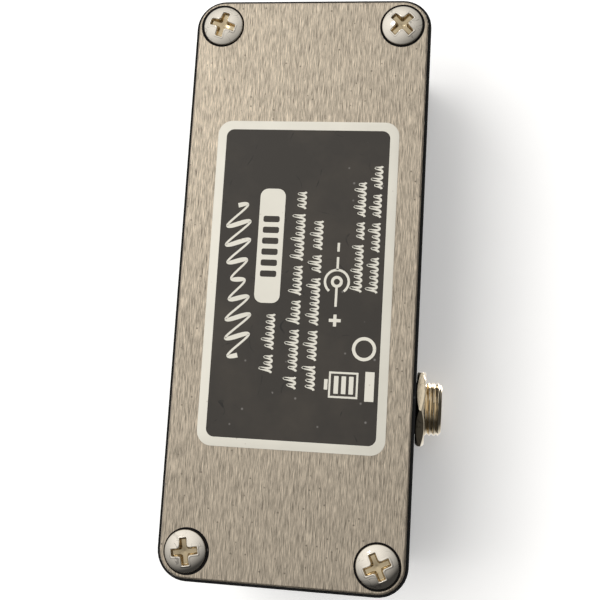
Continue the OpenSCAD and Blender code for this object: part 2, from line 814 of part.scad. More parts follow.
// Way between the battery and a side wall, and the levels that the wires keep
way_x = (battery_w / 2 + box_w / 2 - wall_t) / 2 - 0.1;
mid_z = battery_z + battery_t / 2;
snap_back = battery_end + 4.5;
lug_z = fs_floor - 2.4;
lug_y = fs_y + 5.3 + 0.42;

// Where a jack's wire leaves the tail of its contact spring, counted from its seat
tail_x = -jack_back - jack_arm_l + 9.5 + spring_t / 2;
tail_y = arm_in + arm_t + stack_t + spring_t / 2;

module battery_lead_red() {
  end = [-3.72, inlet_seat - inlet_depth - 1, inlet_z];
  color([0.75, 0.08, 0.06]) wire([
    [-8, snap_back + 0.02, mid_z - 4], [-8, snap_back + 0.8, mid_z - 4],
    [-7.9, snap_back + 1.9, mid_z - 3.9], end + [-3.9, -1.1, -3.2], end + [-2.2, 0, -0.4], end + [-1, 0, 0], end
  ], wire_d, 4);
}

module battery_lead_black() {
  end = [jack_seat - jack_back + 0.5, input_y + 3.5, jack_z - jack_frame_w / 2 - 0.02];
  color([0.06, 0.06, 0.06]) wire([
    [9, snap_back + 0.02, mid_z - 2], [9, snap_back + 0.8, mid_z - 2],
    [12.8, snap_back + 1.1, mid_z], [way_x, snap_back - 2.4, mid_z + 3],
    end + [-0.2, 0.8, -3.2], end + [0, 0, -1], end
  ], wire_d, 4);
}

module input_wire() {
  start = [jack_seat + tail_x + 0.02, input_y + tail_y, jack_z];
  color([0.9, 0.9, 0.86]) wire([
    start, start + [1, 0, 0], start + [2, 0.3, -1.8], start + [3, 0.3, -4.5],
    start + [4.1, -4, -6.6], [way_x, input_y - 4.5, mid_z + 6], [way_x, output_y, mid_z + 1],
    [way_x, lamp_y, mid_z], [way_x - 0.5, battery_y - 0.4, mid_z + 3],
    [9, battery_y - 2.2, lug_z - 0.5], [5.5, lug_y + 1.6, lug_z], [5.3, lug_y + 0.8, lug_z],
    [5.3, lug_y, lug_z]
  ], wire_d, 4);
}

module output_wire() {
  start = [-jack_seat - tail_x - 0.02, output_y - tail_y, jack_z];
  color([0.85, 0.7, 0.1]) wire([
    start, start + [-1, 0, 0], start + [-2, -0.3, -1.8], start + [-3, -0.5, -4.5],
    start + [-4.7, -4, -7.6], [-way_x, lamp_y + 2, mid_z + 2],
    [-way_x + 0.5, battery_y - 0.4, mid_z + 3], [-9, battery_y - 2.2, lug_z - 0.5],
    [-5.5, lug_y + 1.6, lug_z], [-5.3, lug_y + 0.8, lug_z], [-5.3, lug_y, lug_z]
  ], wire_d, 4);
}

// Runs over the battery and under the jacks' arms to the board
module lamp_wire() {
  low = battery_z + battery_t + 2.4;
  end = [-2, board_front + 1, board_z - 0.02];
  color([0.2, 0.35, 0.8]) wire([
    [-1.27, lamp_y, ceiling_z - 9.02], [-1.27, lamp_y, ceiling_z - 10],
    [-2, lamp_y + 2.5, low + 0.6], [-2, output_y - 8, low], [-2, output_y + 6, low],
    [-2, input_y + 2, low - 0.6], end + [0, -1.2, -1.5], end + [0, 0, -0.8], end
  ], wire_d, 4);
}

enclosure_shell();
base_plate();
base_label();
base_screws();
input_jack_bush();
input_jack_frame();
input_jack_insulators();
input_jack_tip_spring();
output_jack_bush();
output_jack_frame();
output_jack_insulators();
output_jack_tip_spring();
jack_nuts();
jack_lock_washers();
footswitch_case();
footswitch_bushing();
footswitch_inner_nut();
footswitch_lock_washer();
footswitch_washer();
footswitch_dress_nut();
footswitch_lugs();
footswitch_plunger();
footswitch_spring();
pot_case();
pot_bush();
pot_washer();
pot_nut();
pot_pins();
pot_shaft();
knob_body();
knob_cap();
knob_pointer();
knob_set_screw();
lamp_lens();
lamp_bezel();
lamp_leads();
circuit_board();
board_resistors();
board_film_capacitors();
board_electrolytics();
board_transistors();
slide_switch_case();
slide_switch_left();
slide_switch_right();
inlet_case();
inlet_pin();
inlet_nut();
inlet_lugs();
battery_case();
battery_terminals();
battery_snap();
battery_foam();
battery_lead_red();
battery_lead_black();
input_wire();
output_wire();
lamp_wire();
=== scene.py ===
import json
import math

import bmesh
import bpy
from mathutils import Matrix, Vector


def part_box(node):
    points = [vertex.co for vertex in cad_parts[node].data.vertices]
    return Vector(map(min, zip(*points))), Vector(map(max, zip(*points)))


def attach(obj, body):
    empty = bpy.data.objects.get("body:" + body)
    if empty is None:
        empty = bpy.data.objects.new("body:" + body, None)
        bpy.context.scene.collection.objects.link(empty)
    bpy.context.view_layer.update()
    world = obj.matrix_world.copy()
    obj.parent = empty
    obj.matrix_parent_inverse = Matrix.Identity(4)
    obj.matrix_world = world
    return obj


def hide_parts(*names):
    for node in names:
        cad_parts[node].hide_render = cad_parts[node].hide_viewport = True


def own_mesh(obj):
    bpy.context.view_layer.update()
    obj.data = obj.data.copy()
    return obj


# Small guitar boost pedal, seen from under its base plate.
# Lengths in the dictionaries are millimetres; mm turns them into metres.
mm = 0.001

print("stage: frame")
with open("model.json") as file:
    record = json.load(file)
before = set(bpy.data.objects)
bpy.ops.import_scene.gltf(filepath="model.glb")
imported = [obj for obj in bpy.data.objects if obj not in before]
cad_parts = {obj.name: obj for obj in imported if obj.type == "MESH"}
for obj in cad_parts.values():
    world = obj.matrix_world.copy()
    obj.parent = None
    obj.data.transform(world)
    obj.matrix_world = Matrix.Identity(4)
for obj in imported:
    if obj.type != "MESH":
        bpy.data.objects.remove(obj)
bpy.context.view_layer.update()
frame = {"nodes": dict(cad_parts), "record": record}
nodes = frame["nodes"]
plateLow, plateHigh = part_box("base_plate")
plateCentre = Vector(((plateLow.x + plateHigh.x) / 2, (plateLow.y + plateHigh.y) / 2, plateLow.z))
labelLow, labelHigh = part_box("base_label")
shellLow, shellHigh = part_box("enclosure_shell")


# Helpers for node trees

def addNode(tree, kind, **values):
    node = tree.nodes.new(kind)
    for key, value in values.items():
        setattr(node, key, value)
    return node


def setInputs(node, **values):
    for key, value in values.items():
        node.inputs[key.replace("_", " ")].default_value = value
    return node


def mathNode(tree, operation, first, second=None):
    node = addNode(tree, "ShaderNodeMath", operation=operation)
    for socket, value in zip(node.inputs, (first, second)):
        if value is None:
            continue
        if isinstance(value, (int, float)):
            socket.default_value = value
        else:
            tree.links.new(value, socket)
    return node.outputs[0]


def mapRange(tree, value, low, high, toLow=0.0, toHigh=1.0):
    node = addNode(tree, "ShaderNodeMapRange")
    tree.links.new(value, node.inputs["Value"])
    node.inputs["From Min"].default_value = low
    node.inputs["From Max"].default_value = high
    node.inputs["To Min"].default_value = toLow
    node.inputs["To Max"].default_value = toHigh
    return node.outputs["Result"]


def mixColour(tree, mask, first, second):
    node = addNode(tree, "ShaderNodeMix", data_type="RGBA")
    tree.links.new(mask, node.inputs["Factor"])
    for name, value in (("A", first), ("B", second)):
        socket = [s for s in node.inputs if s.name == name and s.type == "RGBA"][0]
        if isinstance(value, (tuple, list)):
            socket.default_value = (*value[:3], 1.0)
        else:
            tree.links.new(value, socket)
    return [s for s in node.outputs if s.type == "RGBA"][0]


def addTexture(tree, kind, coords, scale, **values):
    # A texture node on coords; scale is a number or a socket
    node = addNode(tree, kind)
    tree.links.new(coords, node.inputs["Vector"])
    if isinstance(scale, (int, float)):
        node.inputs["Scale"].default_value = scale
    else:
        tree.links.new(scale, node.inputs["Scale"])
    return setInputs(node, **values)


def newGroup(name, inputs, outputs):
    group = bpy.data.node_groups.new(name, "ShaderNodeTree")
    for label, kind, value in inputs:
        socket = group.interface.new_socket(name=label, in_out="INPUT", socket_type=kind)
        if value is not None:
            socket.default_value = value
    for label, kind in outputs:
        group.interface.new_socket(name=label, in_out="OUTPUT", socket_type=kind)
    start = group.nodes.new("NodeGroupInput")
    end = group.nodes.new("NodeGroupOutput")
    return group, start.outputs, end.inputs


def useGroup(tree, group, coords, **values):
    node = addNode(tree, "ShaderNodeGroup", node_tree=group)
    tree.links.new(coords, node.inputs["Vector"])
    setInputs(node, **values)
    return node.outputs


# Surface effects that the materials share

def stretchedNoise(group, vector, scale, detail, roughness):
    # Noise on coordinates that are stretched by one number for each axis
    stretch = addNode(group, "ShaderNodeVectorMath", operation="MULTIPLY")
    group.links.new(vector, stretch.inputs[0])
    group.links.new(scale, stretch.inputs[1])
    noise = addTexture(
        group, "ShaderNodeTexNoise", stretch.outputs[0], 1.0, Detail=detail, Roughness=roughness
    )
    return noise.outputs["Fac"]


def makeBrushedGrain():
    # Short strokes along one axis; Scale is strokes per metre on each axis
    group, given, result = newGroup(
        "brushedGrain",
        [("Vector", "NodeSocketVector", None), ("Scale", "NodeSocketVector", (2600, 380, 2600))],
        [("Strokes", "NodeSocketFloat"), ("Mottle", "NodeSocketFloat"), ("Height", "NodeSocketFloat")],
    )
    strokes = stretchedNoise(group, given["Vector"], given["Scale"], 3.0, 0.62)
    finer = addNode(group, "ShaderNodeVectorMath", operation="SCALE")
    group.links.new(given["Scale"], finer.inputs[0])
    finer.inputs["Scale"].default_value = 2.3
    fine = stretchedNoise(group, given["Vector"], finer.outputs[0], 2.0, 0.7)
    broadShare = mathNode(group, "MULTIPLY", strokes, 0.62)
    both = mathNode(group, "ADD", broadShare, mathNode(group, "MULTIPLY", fine, 0.38))
    group.links.new(mapRange(group, both, 0.34, 0.66), result["Strokes"])
    group.links.new(both, result["Height"])
    broad = addTexture(group, "ShaderNodeTexNoise", given["Vector"], 95.0, Detail=3.0, Roughness=0.55)
    group.links.new(mapRange(group, broad.outputs["Fac"], 0.3, 0.7), result["Mottle"])
    return group


def makeMouldedGrain():
    # Fine stipple of a powder coat or a mould, with slow patches
    group, given, result = newGroup(
        "mouldedGrain",
        [("Vector", "NodeSocketVector", None), ("Scale", "NodeSocketFloat", 2500.0)],
        [("Patches", "NodeSocketFloat"), ("Stipple", "NodeSocketFloat"), ("Height", "NodeSocketFloat")],
    )
    coords = given["Vector"]
    stipple = addTexture(group, "ShaderNodeTexNoise", coords, given["Scale"], Detail=3.0, Roughness=0.55)
    cells = addTexture(group, "ShaderNodeTexVoronoi", coords, given["Scale"])
    cells.feature = "SMOOTH_F1"
    patches = addTexture(group, "ShaderNodeTexNoise", coords, 120.0, Detail=3.0, Roughness=0.6)
    dents = mathNode(group, "MULTIPLY", cells.outputs["Distance"], -0.6)
    height = mathNode(group, "ADD", stipple.outputs["Fac"], dents)
    group.links.new(height, result["Height"])
    group.links.new(mapRange(group, stipple.outputs["Fac"], 0.35, 0.65), result["Stipple"])
    group.links.new(mapRange(group, patches.outputs["Fac"], 0.32, 0.7), result["Patches"])
    return group


def makeSpecks():
    # Scattered dust and chips, each a small dot; Cover is how much of the surface has them
    group, given, result = newGroup(
        "dustSpecks",
        [
            ("Vector", "NodeSocketVector", None),
            ("Scale", "NodeSocketFloat", 1500.0),
            ("Cover", "NodeSocketFloat", 0.2),
        ],
        [("Mask", "NodeSocketFloat")],
    )
    dots = addTexture(group, "ShaderNodeTexVoronoi", given["Vector"], given["Scale"])
    dot = mapRange(group, dots.outputs["Distance"], 0.1, 0.26, 1.0, 0.0)
    pick = addNode(group, "ShaderNodeSeparateColor")
    group.links.new(dots.outputs["Color"], pick.inputs[0])
    chosen = mathNode(group, "LESS_THAN", pick.outputs[0], given["Cover"])
    group.links.new(mathNode(group, "MULTIPLY", dot, chosen), result["Mask"])
    return group


def makeScuffs():
    # Thin wandering scratches with soft rubbed patches
    group, given, result = newGroup(
        "thinScuffs",
        [
            ("Vector", "NodeSocketVector", None),
            ("Scale", "NodeSocketFloat", 160.0),
            ("Width", "NodeSocketFloat", 0.012),
        ],
        [("Mask", "NodeSocketFloat"), ("Rubbed", "NodeSocketFloat")],
    )
    coords = given["Vector"]
    lines = addTexture(
        group, "ShaderNodeTexNoise", coords, given["Scale"], Detail=1.0, Roughness=0.4, Distortion=0.6
    )
    away = mathNode(group, "ABSOLUTE", mathNode(group, "SUBTRACT", lines.outputs["Fac"], 0.5))
    line = mathNode(group, "LESS_THAN", away, given["Width"])
    breaks = addTexture(group, "ShaderNodeTexNoise", coords, 420.0, Detail=2.0, Roughness=0.6)
    kept = mapRange(group, breaks.outputs["Fac"], 0.52, 0.66)
    group.links.new(mathNode(group, "MULTIPLY", line, kept), result["Mask"])
    rubbed = addTexture(group, "ShaderNodeTexNoise", coords, 70.0, Detail=4.0, Roughness=0.65)
    group.links.new(mapRange(group, rubbed.outputs["Fac"], 0.45, 0.75), result["Rubbed"])
    return group


brushedGrain = makeBrushedGrain()
mouldedGrain = makeMouldedGrain()
dustSpecks = makeSpecks()
thinScuffs = makeScuffs()


# Materials

def newMaterial(name):
    material = bpy.data.materials.new(name)
    material.use_nodes = True
    tree = material.node_tree
    tree.nodes.clear()
    shader = tree.nodes.new("ShaderNodeBsdfPrincipled")
    output = tree.nodes.new("ShaderNodeOutputMaterial")
    tree.links.new(shader.outputs["BSDF"], output.inputs["Surface"])
    coords = addNode(tree, "ShaderNodeTexCoord").outputs["Object"]
    return material, tree, shader, coords


def addBump(tree, shader, height, strength, distance):
    bump = addNode(tree, "ShaderNodeBump")
    setInputs(bump, Strength=strength, Distance=distance)
    tree.links.new(height, bump.inputs["Height"])
    tree.links.new(bump.outputs["Normal"], shader.inputs["Normal"])


def setSurface(tree, shader, colour, grade, rough):
    # Base colour, and a roughness that goes between two values as grade goes from 0 to 1
    tree.links.new(colour, shader.inputs["Base Color"])
    tree.links.new(mapRange(tree, grade, 0.0, 1.0, *rough), shader.inputs["Roughness"])


def scaled(colour, factor):
    return tuple(min(1.0, c * factor) for c in colour[:3])


def brushedMetal(name, colour, rough=(0.28, 0.42), scale=(2600, 380, 2600), contrast=0.2):
    material, tree, shader, coords = newMaterial(name)
    grain = useGroup(tree, brushedGrain, coords, Scale=scale)
    strokes = mixColour(tree, grain["Strokes"], scaled(colour, 1 - contrast), scaled(colour, 1 + contrast))
    specks = useGroup(tree, dustSpecks, coords, Scale=1300.0, Cover=0.12)
    dusty = mixColour(tree, specks["Mask"], strokes, scaled(colour, 0.45))
    setSurface(tree, shader, dusty, grain["Mottle"], rough)
    shader.inputs["Metallic"].default_value = 1.0
    addBump(tree, shader, grain["Height"], strength=0.25, distance=0.00004)
    return material


def polishedMetal(name, colour, rough, stain):
    material, tree, shader, coords = newMaterial(name)
    scuff = useGroup(tree, thinScuffs, coords, Scale=700.0, Width=0.02)
    darkened = mixColour(tree, scuff["Rubbed"], colour, scaled(colour, stain))
    scratched = mixColour(tree, scuff["Mask"], darkened, scaled(colour, 0.55))
    setSurface(tree, shader, scratched, scuff["Rubbed"], rough)
    shader.inputs["Metallic"].default_value = 1.0
    grain = useGroup(tree, mouldedGrain, coords, Scale=1800.0)
    addBump(tree, shader, grain["Height"], strength=0.08, distance=0.00003)
    return material


def paintedCoat(
    name, colour, rough=(0.42, 0.6), scale=2600.0, chips=0.05, chipColour=(0.3, 0.3, 0.3), gloss=0.5
):
    material, tree, shader, coords = newMaterial(name)
    grain = useGroup(tree, mouldedGrain, coords, Scale=scale)
    base = mixColour(tree, grain["Stipple"], scaled(colour, 0.72), scaled(colour, 1.3))
    specks = useGroup(tree, dustSpecks, coords, Scale=900.0, Cover=chips)
    setSurface(tree, shader, mixColour(tree, specks["Mask"], base, chipColour), grain["Patches"], rough)
    shader.inputs["Specular IOR Level"].default_value = gloss
    addBump(tree, shader, grain["Height"], strength=0.35, distance=0.00006)
    return material


def glossyBody(name, colour, tint):
    # Dipped or sleeved parts: a glossy skin whose colour drifts a little
    material, tree, shader, coords = newMaterial(name)
    grain = useGroup(tree, mouldedGrain, coords, Scale=700.0)
    scuff = useGroup(tree, thinScuffs, coords, Scale=500.0, Width=0.01)
    base = mixColour(tree, grain["Patches"], colour, tint)
    scratched = mixColour(tree, scuff["Mask"], base, scaled(colour, 0.5))
    setSurface(tree, shader, scratched, grain["Stipple"], rough=(0.16, 0.34))
    addBump(tree, shader, grain["Height"], strength=0.12, distance=0.00004)
    return material


def bandedBody(name, colour, bandColours, axis, perMetre):
    # Painted rings that repeat along one axis
    material, tree, shader, coords = newMaterial(name)
    split = addNode(tree, "ShaderNodeSeparateXYZ")
    tree.links.new(coords, split.inputs[0])
    run = mathNode(tree, "FRACT", mathNode(tree, "MULTIPLY", split.outputs[axis], perMetre))
    ramp = addNode(tree, "ShaderNodeValToRGB")
    ramp.color_ramp.interpolation = "CONSTANT"
    stops = [(0.0, colour)]
    for i, band in enumerate(bandColours):
        stops += [(0.2 + 0.2 * i, band), (0.28 + 0.2 * i, colour)]
    ramp.color_ramp.elements[0].color = (*colour, 1)
    ramp.color_ramp.elements[1].position = stops[1][0]
    ramp.color_ramp.elements[1].color = (*stops[1][1], 1)
    for place, shade in stops[2:]:
        element = ramp.color_ramp.elements.new(place)
        element.color = (*shade, 1)
    tree.links.new(run, ramp.inputs[0])
    grain = useGroup(tree, mouldedGrain, coords, Scale=1500.0)
    worn = mixColour(tree, grain["Patches"], ramp.outputs["Color"], scaled(colour, 0.75))
    wear = mapRange(tree, grain["Patches"], 0.0, 1.0, 0.0, 0.25)
    rubbed = mixColour(tree, wear, ramp.outputs["Color"], worn)
    setSurface(tree, shader, rubbed, grain["Stipple"], rough=(0.25, 0.4))
    addBump(tree, shader, grain["Height"], strength=0.15, distance=0.00005)
    return material


def boardMask(name):
    # Green solder mask with paler tracks and tinned dots
    material, tree, shader, coords = newMaterial(name)
    tracks = addTexture(tree, "ShaderNodeTexBrick", coords, 260.0, Mortar_Size=0.035)
    setInputs(tracks, Color1=(1, 1, 1, 1), Color2=(1, 1, 1, 1), Mortar=(0, 0, 0, 1))
    tracks.offset = 0.35
    tracks.squash = 1.4
    base = mixColour(tree, tracks.outputs["Fac"], (0.012, 0.12, 0.045), (0.03, 0.2, 0.08))
    pads = useGroup(tree, dustSpecks, coords, Scale=420.0, Cover=0.35)
    tinned = mixColour(tree, pads["Mask"], base, (0.62, 0.6, 0.55))
    grain = useGroup(tree, mouldedGrain, coords, Scale=1200.0)
    setSurface(tree, shader, tinned, grain["Patches"], rough=(0.2, 0.4))
    addBump(tree, shader, tracks.outputs["Fac"], strength=0.3, distance=0.00004)
    return material


def lensPlastic(name, colour):
    material, tree, shader, coords = newMaterial(name)
    grain = useGroup(tree, mouldedGrain, coords, Scale=600.0)
    drifted = mixColour(tree, grain["Patches"], colour, scaled(colour, 0.8))
    setSurface(tree, shader, drifted, grain["Stipple"], rough=(0.08, 0.16))
    shader.inputs["Transmission Weight"].default_value = 0.85
    shader.inputs["IOR"].default_value = 1.5
    addBump(tree, shader, grain["Height"], strength=0.05, distance=0.00004)
    return material


def softFoam(name, colour):
    material, tree, shader, coords = newMaterial(name)
    pores = addTexture(tree, "ShaderNodeTexVoronoi", coords, 1400.0)
    depth = mapRange(tree, pores.outputs["Distance"], 0.1, 0.6)
    porous = mixColour(tree, depth, scaled(colour, 0.35), scaled(colour, 1.2))
    grain = useGroup(tree, mouldedGrain, coords, Scale=900.0)
    setSurface(tree, shader, porous, grain["Stipple"], rough=(0.85, 1.0))
    addBump(tree, shader, depth, strength=0.8, distance=0.0003)
    return material


# Colours of the finishes that show most, as linear RGB
finishColours = {
    "charcoalCoat": (0.007, 0.007, 0.0075),
    "plateSteel": (0.57, 0.495, 0.395),
    "screwNickel": (0.93, 0.87, 0.77),
    "jackNickel": (0.84, 0.73, 0.55),
    "labelInk": (0.027, 0.0225, 0.0175),
    "labelCream": (0.72, 0.695, 0.615),
}

print("stage: materials")
finishes = {
    "box_paint": paintedCoat(
        "charcoalCoat", finishColours["charcoalCoat"], chips=0.02, chipColour=(0.05, 0.05, 0.05), gloss=0.13
    ),
    "brushed_plate": brushedMetal(
        "plateSteel", finishColours["plateSteel"], rough=(0.43, 0.49), scale=(8600, 430, 8600), contrast=0.7
    ),
    "screw_nickel": polishedMetal(
        "screwNickel", finishColours["screwNickel"], rough=(0.08, 0.18), stain=0.86
    ),
    "jack_nickel": polishedMetal(
        "jackNickel", finishColours["jackNickel"], rough=(0.1, 0.2), stain=0.75
    ),
    "plain_steel": brushedMetal("zincSteel", (0.56, 0.56, 0.55), scale=(900, 900, 2600)),
    "fibre": paintedCoat(
        "fibreBoard", (0.2, 0.09, 0.04), rough=(0.6, 0.8), scale=1400.0, chipColour=(0.32, 0.2, 0.1)
    ),
    "contact_brass": brushedMetal(
        "contactBrass", (0.78, 0.58, 0.28), rough=(0.22, 0.36), scale=(2600, 500, 2600)
    ),
    "switch_chrome": polishedMetal("switchChrome", (0.82, 0.82, 0.82), rough=(0.06, 0.16), stain=0.9),
    "switch_blue": paintedCoat("switchBlue", (0.03, 0.1, 0.34), scale=1500.0),
    "nylon_white": paintedCoat(
        "nylonWhite", (0.72, 0.7, 0.62), rough=(0.35, 0.5), scale=1200.0, chipColour=(0.5, 0.48, 0.42)
    ),
    "knob_black": paintedCoat(
        "knobBlack", (0.02, 0.02, 0.022), rough=(0.35, 0.5), scale=1800.0, chips=0.02
    ),
    "knob_metal": brushedMetal(
        "spunAluminium", (0.76, 0.76, 0.77), rough=(0.2, 0.32), scale=(1500, 1500, 300)
    ),
    "pointer_white": paintedCoat(
        "pointerWhite", (0.82, 0.8, 0.74), rough=(0.3, 0.45), scale=1600.0, chipColour=(0.5, 0.48, 0.44)
    ),
    "black_oxide": brushedMetal("blackOxide", (0.05, 0.05, 0.052), rough=(0.3, 0.45)),
    "lamp_plastic": lensPlastic("lampLens", (0.55, 0.7, 0.98)),
    "board_green": boardMask("solderMask"),
    "resistor_body": bandedBody(
        "bandedLacquer",
        (0.56, 0.42, 0.22),
        [(0.3, 0.02, 0.02), (0.02, 0.02, 0.02), (0.6, 0.3, 0.02)],
        0,
        160.0,
    ),
    "capacitor_red": glossyBody("dippedFilm", (0.42, 0.04, 0.02), (0.3, 0.025, 0.015)),
    "capacitor_blue": bandedBody("capacitorSleeve", (0.02, 0.035, 0.2), [(0.5, 0.52, 0.56)], 0, 170.0),
    "part_black": paintedCoat("mouldedBlack", (0.024, 0.024, 0.024), scale=1500.0),
    "battery_skin": bandedBody("batteryJacket", (0.045, 0.045, 0.05), [(0.55, 0.42, 0.16)], 1, 22.0),
    "battery_metal": brushedMetal("terminalPlate", (0.7, 0.69, 0.66), scale=(1800, 1800, 600)),
    "foam_grey": softFoam("foamGrey", (0.13, 0.13, 0.135)),
    "wire_red": glossyBody("wireRed", (0.5, 0.018, 0.012), (0.38, 0.012, 0.01)),
    "wire_black": glossyBody("wireBlack", (0.02, 0.02, 0.02), (0.03, 0.03, 0.03)),
    "wire_white": glossyBody("wireWhite", (0.75, 0.74, 0.7), (0.62, 0.6, 0.55)),
    "wire_yellow": glossyBody("wireYellow", (0.72, 0.5, 0.03), (0.6, 0.4, 0.02)),
    "wire_blue": glossyBody("wireBlue", (0.03, 0.09, 0.45), (0.02, 0.06, 0.34)),
}


def labelInkFinish():
    # Satin black print with faint rubbed patches, hairline scratches and dust
    material, tree, shader, coords = newMaterial("labelInk")
    colour = finishColours["labelInk"]
    scuff = useGroup(tree, thinScuffs, coords, Scale=110.0, Width=0.006)
    grain = useGroup(tree, mouldedGrain, coords, Scale=2600.0)
    base = mixColour(tree, scuff["Rubbed"], colour, scaled(colour, 1.9))
    scratched = mixColour(tree, scuff["Mask"], base, scaled(colour, 0.35))
    dust = useGroup(tree, dustSpecks, coords, Scale=1100.0, Cover=0.05)
    dusty = mixColour(tree, dust["Mask"], scratched, (0.16, 0.15, 0.14))
    setSurface(tree, shader, dusty, scuff["Rubbed"], rough=(0.42, 0.56))
    addBump(tree, shader, grain["Height"], strength=0.12, distance=0.00003)
    return material


def labelCreamFinish():
    material, tree, shader, coords = newMaterial("labelCream")
    colour = finishColours["labelCream"]
    grain = useGroup(tree, mouldedGrain, coords, Scale=1500.0)
    dust = useGroup(tree, dustSpecks, coords, Scale=1400.0, Cover=0.06)
    base = mixColour(tree, grain["Patches"], colour, scaled(colour, 0.93))
    dusty = mixColour(tree, dust["Mask"], base, (0.5, 0.46, 0.4))
    setSurface(tree, shader, dusty, grain["Patches"], rough=(0.4, 0.55))
    addBump(tree, shader, grain["Height"], strength=0.08, distance=0.00003)
    return material


labelInk = labelInkFinish()
labelCream = labelCreamFinish()
# Near-black paint for the rings round the screw heads: painted shade, with a few specks of dust
paintedSeatShadow = paintedCoat(
    "seatGrime",
    (0.006, 0.0055, 0.005),
    rough=(0.7, 0.95),
    scale=1600.0,
    chips=0.08,
    chipColour=(0.05, 0.045, 0.04),
    gloss=0.1,
)
# Darker metal for the faces deep in the screws' cross recess: painted shade, with some dirt
recessDirtAndShade = polishedMetal("recessDirtAndShade", (0.6, 0.49, 0.32), rough=(0.14, 0.26), stain=0.5)
finishes["label_film"] = labelInk


def paintCadNodes():
    for part in frame["record"]["subparts"]:
        cadNode = nodes[part["node"]]
        cadNode.data.materials.clear()
        cadNode.data.materials.append(finishes[part["material_slot"]])


paintCadNodes()


# Helpers for meshes

def addPiece(name, mesh, material, body="housing", replaces=()):
    piece = bpy.data.objects.new(name, mesh)
    bpy.context.scene.collection.objects.link(piece)
    if not mesh.materials:
        mesh.materials.append(material)
    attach(piece, body)
    if replaces:
        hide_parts(*replaces)
    return piece


def meshFromRings(name, rings, sharpAngle, closed=False):
    # Skins rings that all have the same number of points, with a cap at each end unless closed
    bm = bmesh.new()
    loops = [[bm.verts.new(point) for point in ring] for ring in rings]
    pairs = list(zip(loops, loops[1:]))
    if closed:
        pairs.append((loops[-1], loops[0]))
    for first, second in pairs:
        count = len(first)
        for i in range(count):
            bm.faces.new((first[i], first[(i + 1) % count], second[(i + 1) % count], second[i]))
    if not closed:
        bm.faces.new(list(reversed(loops[0])))
        bm.faces.new(loops[-1])
    bmesh.ops.recalc_face_normals(bm, faces=bm.faces)
    mesh = bpy.data.meshes.new(name)
    bm.to_mesh(mesh)
    bm.free()
    mesh.shade_smooth()
    mesh.set_sharp_from_angle(angle=math.radians(sharpAngle))
    return mesh


def roundRectPoints(width, length, radius, steps=10):
    points = []
    for cornerX, cornerY, start in ((1, 1, 0), (-1, 1, 90), (-1, -1, 180), (1, -1, 270)):
        for i in range(steps + 1):
            angle = math.radians(start + 90 * i / steps)
            points.append((
                cornerX * (width / 2 - radius) + radius * math.cos(angle),
                cornerY * (length / 2 - radius) + radius * math.sin(angle),
            ))
    return points


def circlePoints(radius, steps):
    angles = [2 * math.pi * i / steps for i in range(steps)]
    return [(radius * math.cos(angle), radius * math.sin(angle)) for angle in angles]


def pieceName(kind, place):
    return kind + place[0].upper() + place[1:]


# Base plate

plateLook = {
    "cornerRadius": 4.2,
    "cornerSteps": 14,
    "edgeRoll": 0.36,  # radius of the rolled edge
    "rollSteps": 6,
}

# Near-black ring round each screw head, painted shade of the gap there; each ring sits a little off its
# screw, as (across, along), so the painted shade is wider on one side
seatShadowLook = {
    "outer": 3.56,
    "inner": 2.0,
    "proud": 0.02,
    "root": -0.05,
    "steps": 64,
    "shifts": {
        "frontLeft": (-0.13, 0.08),
        "frontRight": (0.0, 0.03),
        "backLeft": (0.14, 0.0),
        "backRight": (0.0, -0.04),
    },
}

screwLook = {
    "cadHeadRadius": 3.25,
    "headRadius": 3.22,
    "crownHeight": 1.0,
    "crossTurns": {"backRight": -26, "backLeft": -10, "frontRight": 45, "frontLeft": 17},
    "armLength": 2.08,
    "armWidth": 1.14,
    "armBlend": 0.5,  # rounding where two arms of the cross meet
    "recessDepth": 1.15,
    "floorRise": 0.5,  # share of the depth lost by the end of an arm
    "wallRun": (-0.05, 0.26),
    "lip": {"height": 0.035, "place": 0.12, "width": 0.09},  # burr round the cross
    "topGap": 0.055,  # keeps the burr inside the CAD head
    # Faces deep in the cross get a darker metal: painted shade, with some dirt
    "darkened": {"reach": 2.6, "depth": 0.22, "past": 0.4},  # dark faces deep in the cross
    "steps": 144,
    "faceRings": 60,
    "faceStart": 0.01,
    "faceInset": 0.1,
    "rimSteps": ((0.03, 0.06), (0.0, 0.14)),  # (inset, drop) round the head's edge
    "neckRadius": 1.45,
    "threadRadius": (1.22, 1.5),
    "threadPitch": 0.7,
    "tipSteps": ((1.1, 0.5), (0.3, 0.0)),  # (radius, distance from the tip)
    "tipGap": 0.02,
}


def screwCentres():
    # One place for each head, from the four corners of the CAD screws
    low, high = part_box("base_screws")
    inset = screwLook["cadHeadRadius"] * mm
    xs = (low.x + inset, high.x - inset)
    ys = (low.y + inset, high.y - inset)
    return {
        "frontLeft": Vector((xs[0], ys[0], low.z)),
        "frontRight": Vector((xs[1], ys[0], low.z)),
        "backLeft": Vector((xs[0], ys[1], low.z)),
        "backRight": Vector((xs[1], ys[1], low.z)),
    }


def buildPlate(look):
    print("stage: base plate")
    width = plateHigh.x - plateLow.x
    length = plateHigh.y - plateLow.y
    roll = look["edgeRoll"] * mm
    radius = look["cornerRadius"] * mm
    steps = look["rollSteps"]
    outline = [(0.0, plateHigh.z), (0.0, plateLow.z + roll)]
    for i in range(1, steps + 1):
        angle = math.radians(90 * i / steps)
        outline.append((roll * (1 - math.cos(angle)), plateLow.z + roll * (1 - math.sin(angle))))
    rings = []
    for inset, z in outline:
        ring = roundRectPoints(width - 2 * inset, length - 2 * inset, radius - inset, look["cornerSteps"])
        rings.append([(plateCentre.x + x, plateCentre.y + y, z) for x, y in ring])
    mesh = meshFromRings("basePlate", rings, sharpAngle=35)
    addPiece("basePlate", mesh, finishes["brushed_plate"], replaces=["base_plate"])


